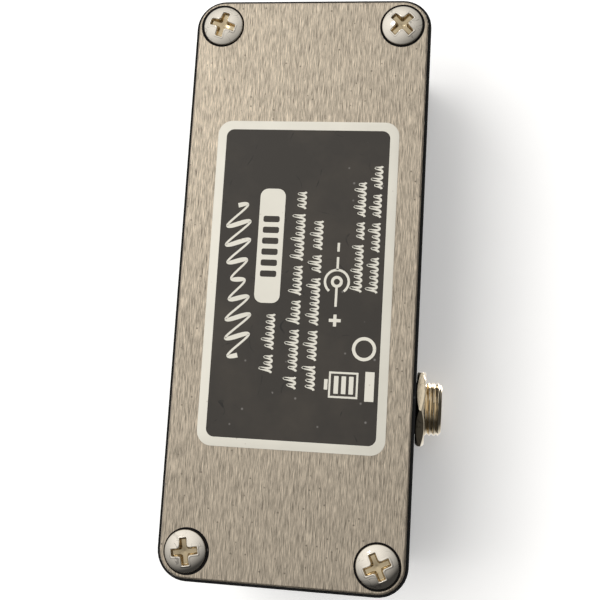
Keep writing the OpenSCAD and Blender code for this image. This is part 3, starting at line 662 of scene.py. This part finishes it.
def buildSeatShadows(look):
    # Each ring is a thin dark band just proud of the plate round a head: painted shade
    inner, outer = look["inner"], look["outer"]
    root, proud = look["root"], look["proud"]
    for name, screw in screwCentres().items():
        across, along = look["shifts"][name]
        x0 = screw.x + across * mm
        y0 = screw.y - along * mm
        rings = []
        for radius, drop in ((inner, root), (inner, proud), (outer, proud), (outer, root)):
            circle = circlePoints(radius * mm, look["steps"])
            rings.append([(x0 + x, y0 + y, plateLow.z - drop * mm) for x, y in circle])
        mesh = meshFromRings(pieceName("seat", name), rings, sharpAngle=30, closed=True)
        addPiece(mesh.name, mesh, paintedSeatShadow)


buildPlate(plateLook)
buildSeatShadows(seatShadowLook)


# Base screws

def boxDistance(x, y, halfX, halfY):
    overX = abs(x) - halfX
    overY = abs(y) - halfY
    outside = math.hypot(max(overX, 0.0), max(overY, 0.0))
    return outside + min(max(overX, overY), 0.0)


def smoothStep(value, low, high):
    t = min(1.0, max(0.0, (value - low) / (high - low)))
    return t * t * (3 - 2 * t)


def recessDepth(look, x, y):
    # Depth of the cross recess at a point of the head, in the cross's own directions
    length = look["armLength"]
    half = look["armWidth"] / 2
    blend = look["armBlend"]
    first = boxDistance(x, y, length, half)
    second = boxDistance(x, y, half, length)
    share = max(0.0, blend - abs(first - second)) / blend
    distance = min(first, second) - share * share * blend / 4
    wall = smoothStep(-distance, *look["wallRun"])
    reach = math.hypot(x, y) / length
    floor = look["recessDepth"] * (1.0 - look["floorRise"] * min(1.0, reach))
    lip = look["lip"]
    return wall * floor - lip["height"] * math.exp(-((distance - lip["place"]) / lip["width"]) ** 2)


def crownDrop(look, radius):
    # Height lost from the middle of the domed head out to radius
    edge = look["headRadius"]
    crown = look["crownHeight"]
    curve = (edge * edge + crown * crown) / (2 * crown)
    return curve - math.sqrt(max(0.0, curve * curve - radius * radius))


def shankProfile(look, headHeight, shankLength):
    # (radius, depth) pairs from the neck to the tip
    root, crest = look["threadRadius"]
    pitch = look["threadPitch"]
    profile = [(look["neckRadius"], headHeight)]
    z = headHeight
    while z < headHeight + shankLength - 2 * pitch:
        profile.append((root, z + pitch * 0.35))
        profile.append((crest, z + pitch * 0.75))
        z += pitch
    for radius, short in look["tipSteps"]:
        profile.append((radius, headHeight + shankLength - short))
    return profile


def markRecess(mesh, centre, headTop, look):
    # The second material, a darker metal that paints shade and some dirt into the cross, goes on the faces
    # that lie deep inside the cross
    darkened = look["darkened"]
    for face in mesh.polygons:
        reach = (face.center - centre).xy.length / mm
        dome = look["topGap"] + crownDrop(look, min(reach, look["headRadius"]))
        isShallow = (face.center.z - headTop) / mm <= dome + darkened["depth"]
        isShank = face.center.z >= plateLow.z + darkened["past"] * mm
        if reach < darkened["reach"] and not isShallow and not isShank:
            face.material_index = 1


def buildScrews(look):
    print("stage: base screws")
    low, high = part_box("base_screws")
    headHeight = (plateLow.z - low.z) / mm
    shankLength = (high.z - plateLow.z) / mm - look["tipGap"]
    edge = look["headRadius"]
    faceRadius = edge - look["faceInset"]
    rim = look["topGap"] + crownDrop(look, faceRadius)
    for name, centre in screwCentres().items():
        turn = math.radians(look["crossTurns"][name])
        rings = []

        def addRing(radius, depthAt):
            ring = []
            for x, y in circlePoints(radius, look["steps"]):
                ring.append((centre.x + x * mm, centre.y + y * mm, low.z + depthAt(x, y) * mm))
            rings.append(ring)

        def faceDepth(x, y):
            turnedX = x * math.cos(turn) + y * math.sin(turn)
            turnedY = y * math.cos(turn) - x * math.sin(turn)
            return look["topGap"] + crownDrop(look, math.hypot(x, y)) + recessDepth(look, turnedX, turnedY)

        for step in range(1, look["faceRings"] + 1):
            addRing(look["faceStart"] + faceRadius * step / look["faceRings"], faceDepth)
        for inset, drop in look["rimSteps"]:
            addRing(edge - inset, lambda x, y: rim + drop)
        addRing(edge, lambda x, y: headHeight)
        for radius, depth in shankProfile(look, headHeight, shankLength):
            addRing(radius, lambda x, y: depth)
        mesh = meshFromRings(pieceName("baseScrew", name), rings, sharpAngle=62)
        mesh.materials.append(finishes["screw_nickel"])
        mesh.materials.append(recessDirtAndShade)
        markRecess(mesh, centre, low.z, look)
        addPiece(mesh.name, mesh, None, replaces=["base_screws"])


buildScrews(screwLook)


# Base label

# Places are millimetres from the plate's centre: "across" grows to the jack's side,
# "along" grows to the footswitch end, which is the way that the label reads.
labelLook = {
    "cornerRadius": 2.3,
    "filmEdge": 0.05,
    "borderWidth": 1.42,
    "inkLift": 0.004,
    "printLift": 0.008,
    "dashLift": 0.012,
    "markRadius": 0.05,
    "wave": {
        "across": -9.3, "along": (-11.8, 12.0), "tilt": 0.06, "cycles": 8, "slant": 0.6, "steps": 220,
        "height": 2.0, "swell": (0.45, 0.55), "swellBends": 1.7, "swellStart": 0.15,
        "thick": 0.5, "thickSwell": (0.7, 0.8),
    },
    "panel": {"across": (-6.55, -2.5), "along": (-3.45, 14.85), "radius": 1.25},
    "panelDashes": {"across": (-5.85, -3.25), "along": (0.3, 10.8), "count": 6, "width": 1.0, "radius": 0.3},
    "polarity": {
        "across": 6.33, "along": 0.29, "arc": 1.85, "arcEnds": (-52, 232), "ring": 0.93,
        "ringStroke": 0.46, "stroke": 0.38, "lineEnd": 3.9, "minus": (4.75, 6.15),
        "plus": 6.04, "plusHalf": 0.93, "plusStroke": 0.5,
    },
    "barMark": {"across": (11.45, 12.85), "along": (-17.9, -13.4)},
    "ringMark": {"across": 11.05, "along": -9.95, "radius": 1.6, "stroke": 0.5},
    "cellMark": {
        "across": (5.2, 10.4), "along": (-17.6, -13.6), "stroke": 0.3, "strokeRadius": 0.02, "gap": 0.01,
        "cap": 0.7, "capThick": 0.55, "capInset": 1.2,
        "bars": 3, "barStart": 1.5, "barWidth": 0.7, "barPitch": 1.15, "barInset": 0.65,
    },
    # Scribbles that stand in for lines of print: (across from, across to, along from, along to)
    "scribbleRows": [
        (-5.0, -3.1, -14.3, -4.1),
        (-1.2, 0.75, -16.6, 16.7),
        (1.7, 3.65, -16.65, 10.1),
        (8.45, 10.1, -1.2, 17.9),
        (10.85, 12.55, -1.25, 19.2),
    ],
    "scribble": {
        "stroke": 0.35, "pitch": 0.92, "slant": 0.1, "lean": 0.12, "roundness": 0.6, "steps": 12,
        "space": 0.95, "leastRoom": 1.5,  # both in pitches
        "groups": (3, 6, 2, 7, 4, 5, 8, 3, 6, 5, 4, 7),
        "heights": (1.0, 0.62, 0.64, 0.62, 0.95, 0.6, 0.64, 0.62, 0.6, 1.0, 0.62, 0.64),
    },
}


def labelPoint(across, along, lift):
    return Vector((plateCentre.x + across * mm, plateCentre.y - along * mm, labelLow.z - lift * mm))


class PrintMesh:
    # Gathers flat printed shapes into one mesh that faces down

    def __init__(self, lift):
        self.bm = bmesh.new()
        self.lift = lift

    def polygon(self, points):
        verts = [self.bm.verts.new(labelPoint(x, y, self.lift)) for x, y in points]
        face = self.bm.faces.new(verts)
        face.normal_update()
        if face.normal.z > 0:
            face.normal_flip()

    def bar(self, acrossRange, alongRange, radius):
        width = abs(acrossRange[1] - acrossRange[0])
        length = abs(alongRange[1] - alongRange[0])
        centre = (sum(acrossRange) / 2, sum(alongRange) / 2)
        radius = min(radius, width / 2 - 0.001, length / 2 - 0.001)
        outline = roundRectPoints(width, length, radius, steps=5)
        self.polygon([(centre[0] + x, centre[1] + y) for x, y in outline])

    def ribbon(self, points, thick):
        # A stroke along points, with a thickness for each of them
        edges = []
        for i, (x, y) in enumerate(points):
            before = points[max(i - 1, 0)]
            after = points[min(i + 1, len(points) - 1)]
            run = Vector((after[0] - before[0], after[1] - before[1])).normalized()
            half = thick[i] / 2
            edges.append(((x - run.y * half, y + run.x * half), (x + run.y * half, y - run.x * half)))
        for (a, b), (c, d) in zip(edges, edges[1:]):
            self.polygon([a, c, d, b])

    def arc(self, centre, radius, stroke, start, end, steps=40):
        points = []
        for i in range(steps + 1):
            angle = math.radians(start + (end - start) * i / steps)
            points.append((centre[0] + radius * math.cos(angle), centre[1] + radius * math.sin(angle)))
        self.ribbon(points, [stroke] * len(points))

    def finish(self, name, material):
        mesh = bpy.data.meshes.new(name)
        self.bm.to_mesh(mesh)
        self.bm.free()
        return addPiece(name, mesh, material)


def buildLabelFilm(look):
    print("stage: label film")
    centre = (labelLow + labelHigh) / 2
    width = labelHigh.x - labelLow.x
    length = labelHigh.y - labelLow.y
    edge = look["filmEdge"] * mm
    outside = labelLow.z
    rings = []
    for inset, z in (
        (0.0, labelHigh.z),
        (0.0, outside + edge),
        (edge * 0.3, outside + edge * 0.3),
        (edge, outside),
    ):
        radius = look["cornerRadius"] * mm - inset
        outline = roundRectPoints(width - 2 * inset, length - 2 * inset, radius)
        rings.append([(centre.x + x, centre.y + y, z) for x, y in outline])
    mesh = meshFromRings("labelFilm", rings, sharpAngle=30)
    addPiece("labelFilm", mesh, labelCream, replaces=["base_label"])
    border = look["borderWidth"]
    radius = look["cornerRadius"] - border * 0.75
    outline = roundRectPoints(width / mm - 2 * border, length / mm - 2 * border, radius, steps=8)
    across = (centre.x - plateCentre.x) / mm
    along = -(centre.y - plateCentre.y) / mm
    ink = PrintMesh(look["inkLift"])
    ink.polygon([(across + x, along + y) for x, y in outline])
    ink.finish("labelInkPanel", labelInk)


def scribbleRow(sheet, look, row, seed):
    # One line of print as rounded scribbles in groups, with a space after each group
    top, bottom, start, end = row
    groups = look["groups"]
    heights = look["heights"]
    pitch = look["pitch"]
    steps = look["steps"]
    tall = bottom - top
    place = start
    group = seed * 2
    hump = seed * 3
    while place < end - pitch * look["leastRoom"]:
        count = min(groups[group % len(groups)], int((end - place) / pitch))
        points = []
        for i in range(count * steps + 1):
            t = i / steps
            rise = heights[(hump + int(t)) % len(heights)] * tall
            swing = math.cos(2 * math.pi * t)
            lift = rise * (1 - math.copysign(abs(swing) ** look["roundness"], swing)) / 2
            slant = look["slant"] * math.sin(2 * math.pi * t)
            points.append((bottom - lift, place + pitch * t + lift * look["lean"] + slant))
        sheet.ribbon(points, [look["stroke"]] * len(points))
        place += pitch * (count + look["space"])
        hump += count
        group += 1


def drawWave(sheet, wave):
    # A slanted zigzag stroke that swells and thins, in place of a hand-drawn name
    points = []
    thick = []
    start, end = wave["along"]
    least, more = wave["swell"]
    thin, fatter = wave["thickSwell"]
    for i in range(wave["steps"] + 1):
        t = i / wave["steps"]
        phase = 2 * math.pi * wave["cycles"] * t
        bend = math.pi * (t * wave["swellBends"] + wave["swellStart"])
        side = wave["height"] * (least + more * abs(math.sin(bend))) * math.sin(phase)
        along = start + (end - start) * t - wave["slant"] * side
        points.append((wave["across"] - wave["tilt"] * along - side, along))
        thick.append(wave["thick"] * (thin + fatter * max(0.0, math.cos(phase))))
    sheet.ribbon(points, thick)


def drawPolarity(sheet, sign, radius):
    # Centre contact, open sleeve and their lines out to a minus and a plus
    x, y = sign["across"], sign["along"]
    stroke = sign["ringStroke"]
    sheet.arc((x, y), sign["arc"], sign["stroke"], *sign["arcEnds"])
    sheet.arc((x, y), sign["ring"] - stroke / 2, stroke, 0, 360)
    half = sign["stroke"] / 2
    lineEnd = sign["lineEnd"]
    for start, end in ((sign["arc"], lineEnd), (-lineEnd, -sign["ring"]), sign["minus"]):
        sheet.bar((x - half, x + half), (y + start, y + end), radius)
    half = sign["plusStroke"] / 2
    reach = sign["plusHalf"]
    middle = y - sign["plus"]
    sheet.bar((x - half, x + half), (middle - reach, middle + reach), radius)
    for side in (-1, 1):
        sheet.bar((x + side * half, x + side * reach), (middle - half, middle + half), radius)


def drawCell(sheet, cell, radius):
    # Battery mark: a frame with a cap at one end and bars inside
    left, right = cell["across"]
    low, high = cell["along"]
    stroke = cell["stroke"]
    body = left + cell["cap"]
    inset = stroke + cell["gap"]
    for side in (low, high - stroke):
        sheet.bar((body, right), (side, side + stroke), cell["strokeRadius"])
    for end in (body, right - stroke):
        sheet.bar((end, end + stroke), (low + inset, high - inset), cell["strokeRadius"])
    sheet.bar((left, left + cell["capThick"]), (low + cell["capInset"], high - cell["capInset"]), radius)
    bars = (low + cell["barInset"], high - cell["barInset"])
    for i in range(cell["bars"]):
        start = left + cell["barStart"] + i * cell["barPitch"]
        sheet.bar((start, start + cell["barWidth"]), bars, radius)


def buildLabelPrint(look):
    print("stage: label print")
    radius = look["markRadius"]
    sheet = PrintMesh(look["printLift"])
    panel = look["panel"]
    sheet.bar(panel["across"], panel["along"], panel["radius"])
    drawWave(sheet, look["wave"])
    for seed, row in enumerate(look["scribbleRows"]):
        scribbleRow(sheet, look["scribble"], row, seed)
    drawPolarity(sheet, look["polarity"], radius)
    bar = look["barMark"]
    sheet.bar(bar["across"], bar["along"], radius)
    ring = look["ringMark"]
    sheet.arc((ring["across"], ring["along"]), ring["radius"], ring["stroke"], 0, 360)
    drawCell(sheet, look["cellMark"], radius)
    sheet.finish("labelPrint", labelCream)


def buildPanelDashes(look):
    dashes = look["panelDashes"]
    sheet = PrintMesh(look["dashLift"])
    first, last = dashes["along"]
    pitch = (last - first) / dashes["count"]
    half = dashes["width"] / 2
    for i in range(dashes["count"]):
        middle = first + pitch * (i + 0.5)
        sheet.bar(dashes["across"], (middle - half, middle + half), dashes["radius"])
    sheet.finish("panelDashes", labelInk)


buildLabelFilm(labelLook)
buildLabelPrint(labelLook)
buildPanelDashes(labelLook)


# Jacks

jackLook = {
    "pitch": 0.794,
    "threadDepth": 0.34,
    "crest": 0.12,  # share of the pitch that stays at full radius
    "endChamfer": 0.55,
    "boreRadius": 3.25,
    "boreChamfer": (0.35, 0.3),  # (along, outward)
    "steps": 72,
    "rowsPerTurn": 8,
}

nutLook = {
    "acrossFlats": 13.0,
    "thickness": 1.6,
    "chamferRadius": 6.3,
    "boreRadius": 4.72,
    "boreChamfer": 0.25,
    "faceSlope": 0.5,
    "turn": 3.5,
    "steps": 96,
    "edgeRound": 0.06,
}


def buildJackBush(name, node, outward, look):
    # Helical thread as a wavy cylinder: its radius follows the pitch as it turns
    low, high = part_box(node)
    centreY = (low.y + high.y) / 2
    centreZ = (low.z + high.z) / 2
    radius = (high.z - low.z) / 2 / mm
    length = (high.x - low.x) / mm
    tip = high.x if outward > 0 else low.x
    steps = look["steps"]
    bore = look["boreRadius"]
    rows = int(length / look["pitch"] * look["rowsPerTurn"])
    rings = []

    def addRing(distance, radiusOf):
        x = tip - outward * distance * mm
        ring = []
        for i in range(steps):
            angle = 2 * math.pi * i / steps
            r = radiusOf(i / steps) * mm
            ring.append((x, centreY + r * math.cos(angle), centreZ + r * math.sin(angle)))
        rings.append(ring)

    chamferAlong, chamferOut = look["boreChamfer"]
    addRing(chamferAlong, lambda turn: bore)
    addRing(0.0, lambda turn: bore + chamferOut)
    addRing(0.0, lambda turn: radius - look["endChamfer"])
    for row in range(1, rows + 1):
        distance = length * row / rows

        def threadRadius(turn):
            phase = (distance / look["pitch"] + turn * outward) % 1.0
            groove = max(0.0, abs(2 * phase - 1) - look["crest"]) / (1 - look["crest"])
            outer = radius - look["threadDepth"] * groove
            return min(outer, radius - look["endChamfer"] + distance)

        addRing(distance, threadRadius)
    addRing(length, lambda turn: bore)
    mesh = meshFromRings(name, rings, sharpAngle=50, closed=True)
    addPiece(name, mesh, finishes["jack_nickel"], replaces=[node])
    return Vector((tip, centreY, centreZ))


def buildJackNut(name, centreY, centreZ, seatX, outward, look):
    steps = look["steps"]
    flat = look["acrossFlats"] / 2
    rings = []

    def addRing(radiusOf, heightOf):
        ring = []
        for i in range(steps):
            angle = 2 * math.pi * i / steps
            r = radiusOf(angle)
            ring.append((
                seatX + outward * heightOf(r) * mm,
                centreY + r * mm * math.sin(angle),
                centreZ - r * mm * math.cos(angle),
            ))
        rings.append(ring)

    def hexRadius(angle):
        # A corner near angle 0, which is towards the base plate
        return flat / math.cos(((angle - math.radians(look["turn"])) % (math.pi / 3)) - math.pi / 6)

    def rise(r):
        return max(0.0, r - look["chamferRadius"]) * look["faceSlope"]

    thick = look["thickness"]
    bore = look["boreRadius"]
    chamfer = look["boreChamfer"]
    addRing(lambda angle: bore, lambda r: chamfer)
    addRing(lambda angle: bore + chamfer, lambda r: 0.0)
    addRing(lambda angle: look["chamferRadius"], lambda r: 0.0)
    addRing(hexRadius, rise)
    addRing(hexRadius, lambda r: thick - rise(r))
    addRing(lambda angle: look["chamferRadius"], lambda r: thick)
    addRing(lambda angle: bore + chamfer, lambda r: thick)
    addRing(lambda angle: bore, lambda r: thick - chamfer)
    mesh = meshFromRings(name, rings, sharpAngle=24, closed=True)
    nut = addPiece(name, mesh, finishes["jack_nickel"], replaces=["jack_nuts"])
    soften = nut.modifiers.new("softEdges", "BEVEL")
    soften.width = look["edgeRound"] * mm
    soften.segments = 2
    soften.limit_method = "ANGLE"
    soften.angle_limit = math.radians(28)


def buildJacks():
    print("stage: jacks")
    nutLow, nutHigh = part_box("jack_nuts")
    tip = buildJackBush("inputJackBush", "input_jack_bush", 1, jackLook)
    buildJackNut("inputJackNut", tip.y, tip.z, nutHigh.x - nutLook["thickness"] * mm, 1, nutLook)
    tip = buildJackBush("outputJackBush", "output_jack_bush", -1, jackLook)
    buildJackNut("outputJackNut", tip.y, tip.z, nutLow.x + nutLook["thickness"] * mm, -1, nutLook)


buildJacks()


# Footswitch spring

springLook = {"wire": 0.6, "turns": 6, "closedShare": 0.08, "stepsPerTurn": 32, "sides": 10, "keep": 0.6}


def buildSpring(look):
    print("stage: footswitch spring")
    low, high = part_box("footswitch_spring")
    centre = (low + high) / 2
    wire = look["wire"] / 2 * mm
    coil = (high.x - low.x) / 2 - wire
    climb = high.z - low.z - 2 * wire
    closed = look["closedShare"]  # the coils lie flat at both ends
    steps = look["turns"] * look["stepsPerTurn"]
    rings = []
    for i in range(steps + 1):
        t = i / steps
        angle = 2 * math.pi * look["turns"] * t
        rise = min(1.0, max(0.0, (t - closed) / (1 - 2 * closed)))
        out = Vector((math.cos(angle), math.sin(angle), 0))
        middle = Vector((centre.x, centre.y, low.z + wire + climb * rise)) + coil * out
        section = circlePoints(wire, look["sides"])
        rings.append([tuple(middle + x * out + Vector((0, 0, y))) for x, y in section])
    mesh = meshFromRings("footswitchSpring", rings, sharpAngle=180)
    steel = finishes["plain_steel"]
    spring = addPiece("footswitchSpring", mesh, steel, replaces=["footswitch_spring"])
    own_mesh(spring)


buildSpring(springLook)


# Battery foam

foamLook = {
    "cornerRadius": 2.0,
    "fill": 0.85,
    # (share of the size, share of the height): the ends draw in a little
    "outline": ((0.965, 0.0), (0.99, 0.12), (1.0, 0.35), (1.0, 0.65), (0.99, 0.88), (0.965, 1.0)),
}


def buildFoam(look):
    print("stage: battery foam")
    low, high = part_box("battery_foam")
    centre = (low + high) / 2
    size = high - low
    rings = []
    for share, z in look["outline"]:
        radius = look["cornerRadius"] * mm * share
        outline = roundRectPoints(size.x * share, size.y * share, radius, steps=6)
        rings.append([(centre.x + x, centre.y + y, low.z + size.z * z) for x, y in outline])
    mesh = meshFromRings("batteryFoam", rings, sharpAngle=60)
    foam = addPiece("batteryFoam", mesh, finishes["foam_grey"], replaces=["battery_foam"])


buildFoam(foamLook)


# Marks on the top face

dialLook = {"radius": (10.6, 12.2), "shorter": 0.6, "stroke": 0.5, "ticks": 11, "sweep": 300, "lift": 0.01}


def buildDial(look):
    print("stage: dial marks")
    low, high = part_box("knob_body")
    centre = (low + high) / 2
    hub = Vector((centre.x, centre.y, shellHigh.z + look["lift"] * mm))
    half = look["stroke"] / 2 * mm
    last = look["ticks"] - 1
    bm = bmesh.new()
    for i in range(look["ticks"]):
        angle = math.radians(-look["sweep"] / 2 + look["sweep"] * i / last)
        out = Vector((math.sin(angle), math.cos(angle), 0))
        side = Vector((out.y, -out.x, 0))
        start, end = look["radius"]
        if i not in (0, look["ticks"] // 2, last):
            end -= look["shorter"]
        corners = []
        for reach, shift in ((start, -1), (end, -1), (end, 1), (start, 1)):
            corners.append(bm.verts.new(hub + out * reach * mm + side * shift * half))
        face = bm.faces.new(corners)
        face.normal_update()
        if face.normal.z < 0:
            face.normal_flip()
    mesh = bpy.data.meshes.new("dialMarks")
    bm.to_mesh(mesh)
    bm.free()
    addPiece("dialMarks", mesh, finishes["pointer_white"])


buildDial(dialLook)


# Stage, lights and camera

stageLook = {
    "floorSize": 6000.0,
    "backdropSize": 156.0,
    "backdropShift": (-5.0, -2.0),
    "backdropDrop": 4.3,  # under the top face, so that low views look over it
    "paper": (0.93, 0.93, 0.93),
    "paperGlow": 0.26,
    "worldBright": 1.0,
    "worldDim": 0.05,
    "worldAbove": 0.95,
    "worldAxis": (-0.4, -0.55, -0.73),  # towards the bright side
    "worldColour": (1.0, 0.985, 0.96, 1.0),
}


def paperMaterial(name, colour, glow):
    # Paper that shows from its front only, so that the camera can look through its back
    material, tree, shader, coords = newMaterial(name)
    output = [n for n in tree.nodes if n.type == "OUTPUT_MATERIAL"][0]
    grain = useGroup(tree, mouldedGrain, coords, Scale=60.0)
    fibres = mixColour(tree, grain["Patches"], colour, scaled(colour, 0.985))
    tree.links.new(fibres, shader.inputs["Base Color"])
    shader.inputs["Roughness"].default_value = 0.9
    shader.inputs["Specular IOR Level"].default_value = 0.1
    shader.inputs["Emission Color"].default_value = (1.0, 1.0, 1.0, 1.0)
    shader.inputs["Emission Strength"].default_value = glow
    clear = addNode(tree, "ShaderNodeBsdfTransparent")
    side = addNode(tree, "ShaderNodeNewGeometry")
    mix = addNode(tree, "ShaderNodeMixShader")
    tree.links.new(side.outputs["Backfacing"], mix.inputs[0])
    tree.links.new(shader.outputs["BSDF"], mix.inputs[1])
    tree.links.new(clear.outputs["BSDF"], mix.inputs[2])
    tree.links.new(mix.outputs[0], output.inputs["Surface"])
    return material


def buildSheet(name, size, shift, z, facesUp, material):
    half = size / 2 * mm
    square = ((-1, -1), (1, -1), (1, 1), (-1, 1))
    corners = [(shift[0] * mm + x * half, shift[1] * mm + y * half, z) for x, y in square]
    if not facesUp:
        corners.reverse()
    mesh = bpy.data.meshes.new(name)
    mesh.from_pydata(corners, [], [(0, 1, 2, 3)])
    mesh.materials.append(material)
    sheet = bpy.data.objects.new(name, mesh)
    bpy.context.scene.collection.objects.link(sheet)
    sheet.visible_shadow = False
    sheet.visible_diffuse = False
    sheet.visible_glossy = False


# Positions are millimetres from the object's middle; each light aims at the object
lightLook = {
    "keyBelow": {
        "place": (-280, -50, -620), "size": 430, "power": 2.5, "colour": (1.0, 0.99, 0.97), "inMetal": False,
    },
    "glintBelow": {
        "place": (-330, -330, -560), "size": 120, "power": 0.2, "colour": (1.0, 0.98, 0.95), "inMetal": True,
    },
    "keyAbove": {
        "place": (420, -460, 700), "size": 420, "power": 3.2, "colour": (1.0, 0.98, 0.95), "inMetal": True,
    },
    "fillAbove": {
        "place": (-500, 300, 520), "size": 600, "power": 1.2, "colour": (0.95, 0.97, 1.0), "inMetal": True,
    },
}

cameraLook = {
    "fromPlate": (21.01, 21.18, -138.85),
    "target": (0.724, 2.766, 0.0),
    "roll": 3.399,
    "lens": 54.63,
    "sensor": 36,
    "clip": (0.005, 20),  # metres
}


def aim(place, target):
    return (target - place).to_track_quat("-Z", "Y").to_euler()


def buildLights(look):
    middle = Vector((0, plateCentre.y, (shellLow.z + shellHigh.z) / 2))
    for name, spec in look.items():
        data = bpy.data.lights.new(name, "AREA")
        data.shape = "SQUARE"
        data.size = spec["size"] * mm
        data.energy = spec["power"]
        data.color = spec["colour"]
        light = bpy.data.objects.new(name, data)
        light.location = middle + Vector(spec["place"]) * mm
        light.rotation_euler = aim(light.location, middle)
        light.visible_glossy = spec["inMetal"]
        bpy.context.scene.collection.objects.link(light)


def buildWorld(look):
    # A soft room that is bright on one side and dim on the other
    world = bpy.data.worlds.new("softStudio")
    world.use_nodes = True
    bpy.context.scene.world = world
    tree = world.node_tree
    background = tree.nodes["Background"]
    background.inputs["Color"].default_value = look["worldColour"]
    outward = addNode(tree, "ShaderNodeTexCoord").outputs["Generated"]
    towards = addNode(tree, "ShaderNodeVectorMath", operation="DOT_PRODUCT")
    tree.links.new(outward, towards.inputs[0])
    towards.inputs[1].default_value = Vector(look["worldAxis"]).normalized()
    split = addNode(tree, "ShaderNodeSeparateXYZ")
    tree.links.new(outward, split.inputs[0])
    below = mapRange(tree, towards.outputs["Value"], -0.15, 1.0, look["worldDim"], look["worldBright"])
    above = mapRange(tree, split.outputs["Z"], 0.35, 1.0, look["worldDim"], look["worldAbove"])
    room = mathNode(tree, "MAXIMUM", below, above)
    seen = addNode(tree, "ShaderNodeLightPath").outputs["Is Camera Ray"]
    tree.links.new(mathNode(tree, "MAXIMUM", room, seen), background.inputs["Strength"])


def buildCamera(look):
    data = bpy.data.cameras.new("mainCamera")
    data.lens = look["lens"]
    data.sensor_width = look["sensor"]
    data.clip_start, data.clip_end = look["clip"]
    camera = bpy.data.objects.new("mainCamera", data)
    place = plateCentre + Vector(look["fromPlate"]) * mm
    target = plateCentre + Vector(look["target"]) * mm
    forward = (target - place).normalized()
    right = forward.cross(Vector((0, -1, 0))).normalized()
    up = right.cross(forward)
    roll = math.radians(look["roll"])
    turnedRight = math.cos(roll) * right + math.sin(roll) * up
    turnedUp = -math.sin(roll) * right + math.cos(roll) * up
    matrix = Matrix((turnedRight, turnedUp, -forward)).transposed().to_4x4()
    matrix.translation = place
    camera.matrix_world = matrix
    bpy.context.scene.collection.objects.link(camera)
    bpy.context.scene.camera = camera


def buildStage(look):
    print("stage: studio")
    paper = paperMaterial("studioPaper", look["paper"], look["paperGlow"])
    buildSheet("floor", look["floorSize"], (0, 0), 0.0, True, paper)
    behind = shellHigh.z - look["backdropDrop"] * mm
    buildSheet("backdrop", look["backdropSize"], look["backdropShift"], behind, False, paper)
    buildWorld(look)
    buildLights(lightLook)
    buildCamera(cameraLook)
    bpy.context.scene.view_settings.view_transform = "Standard"


buildStage(stageLook)

print("stage: done")
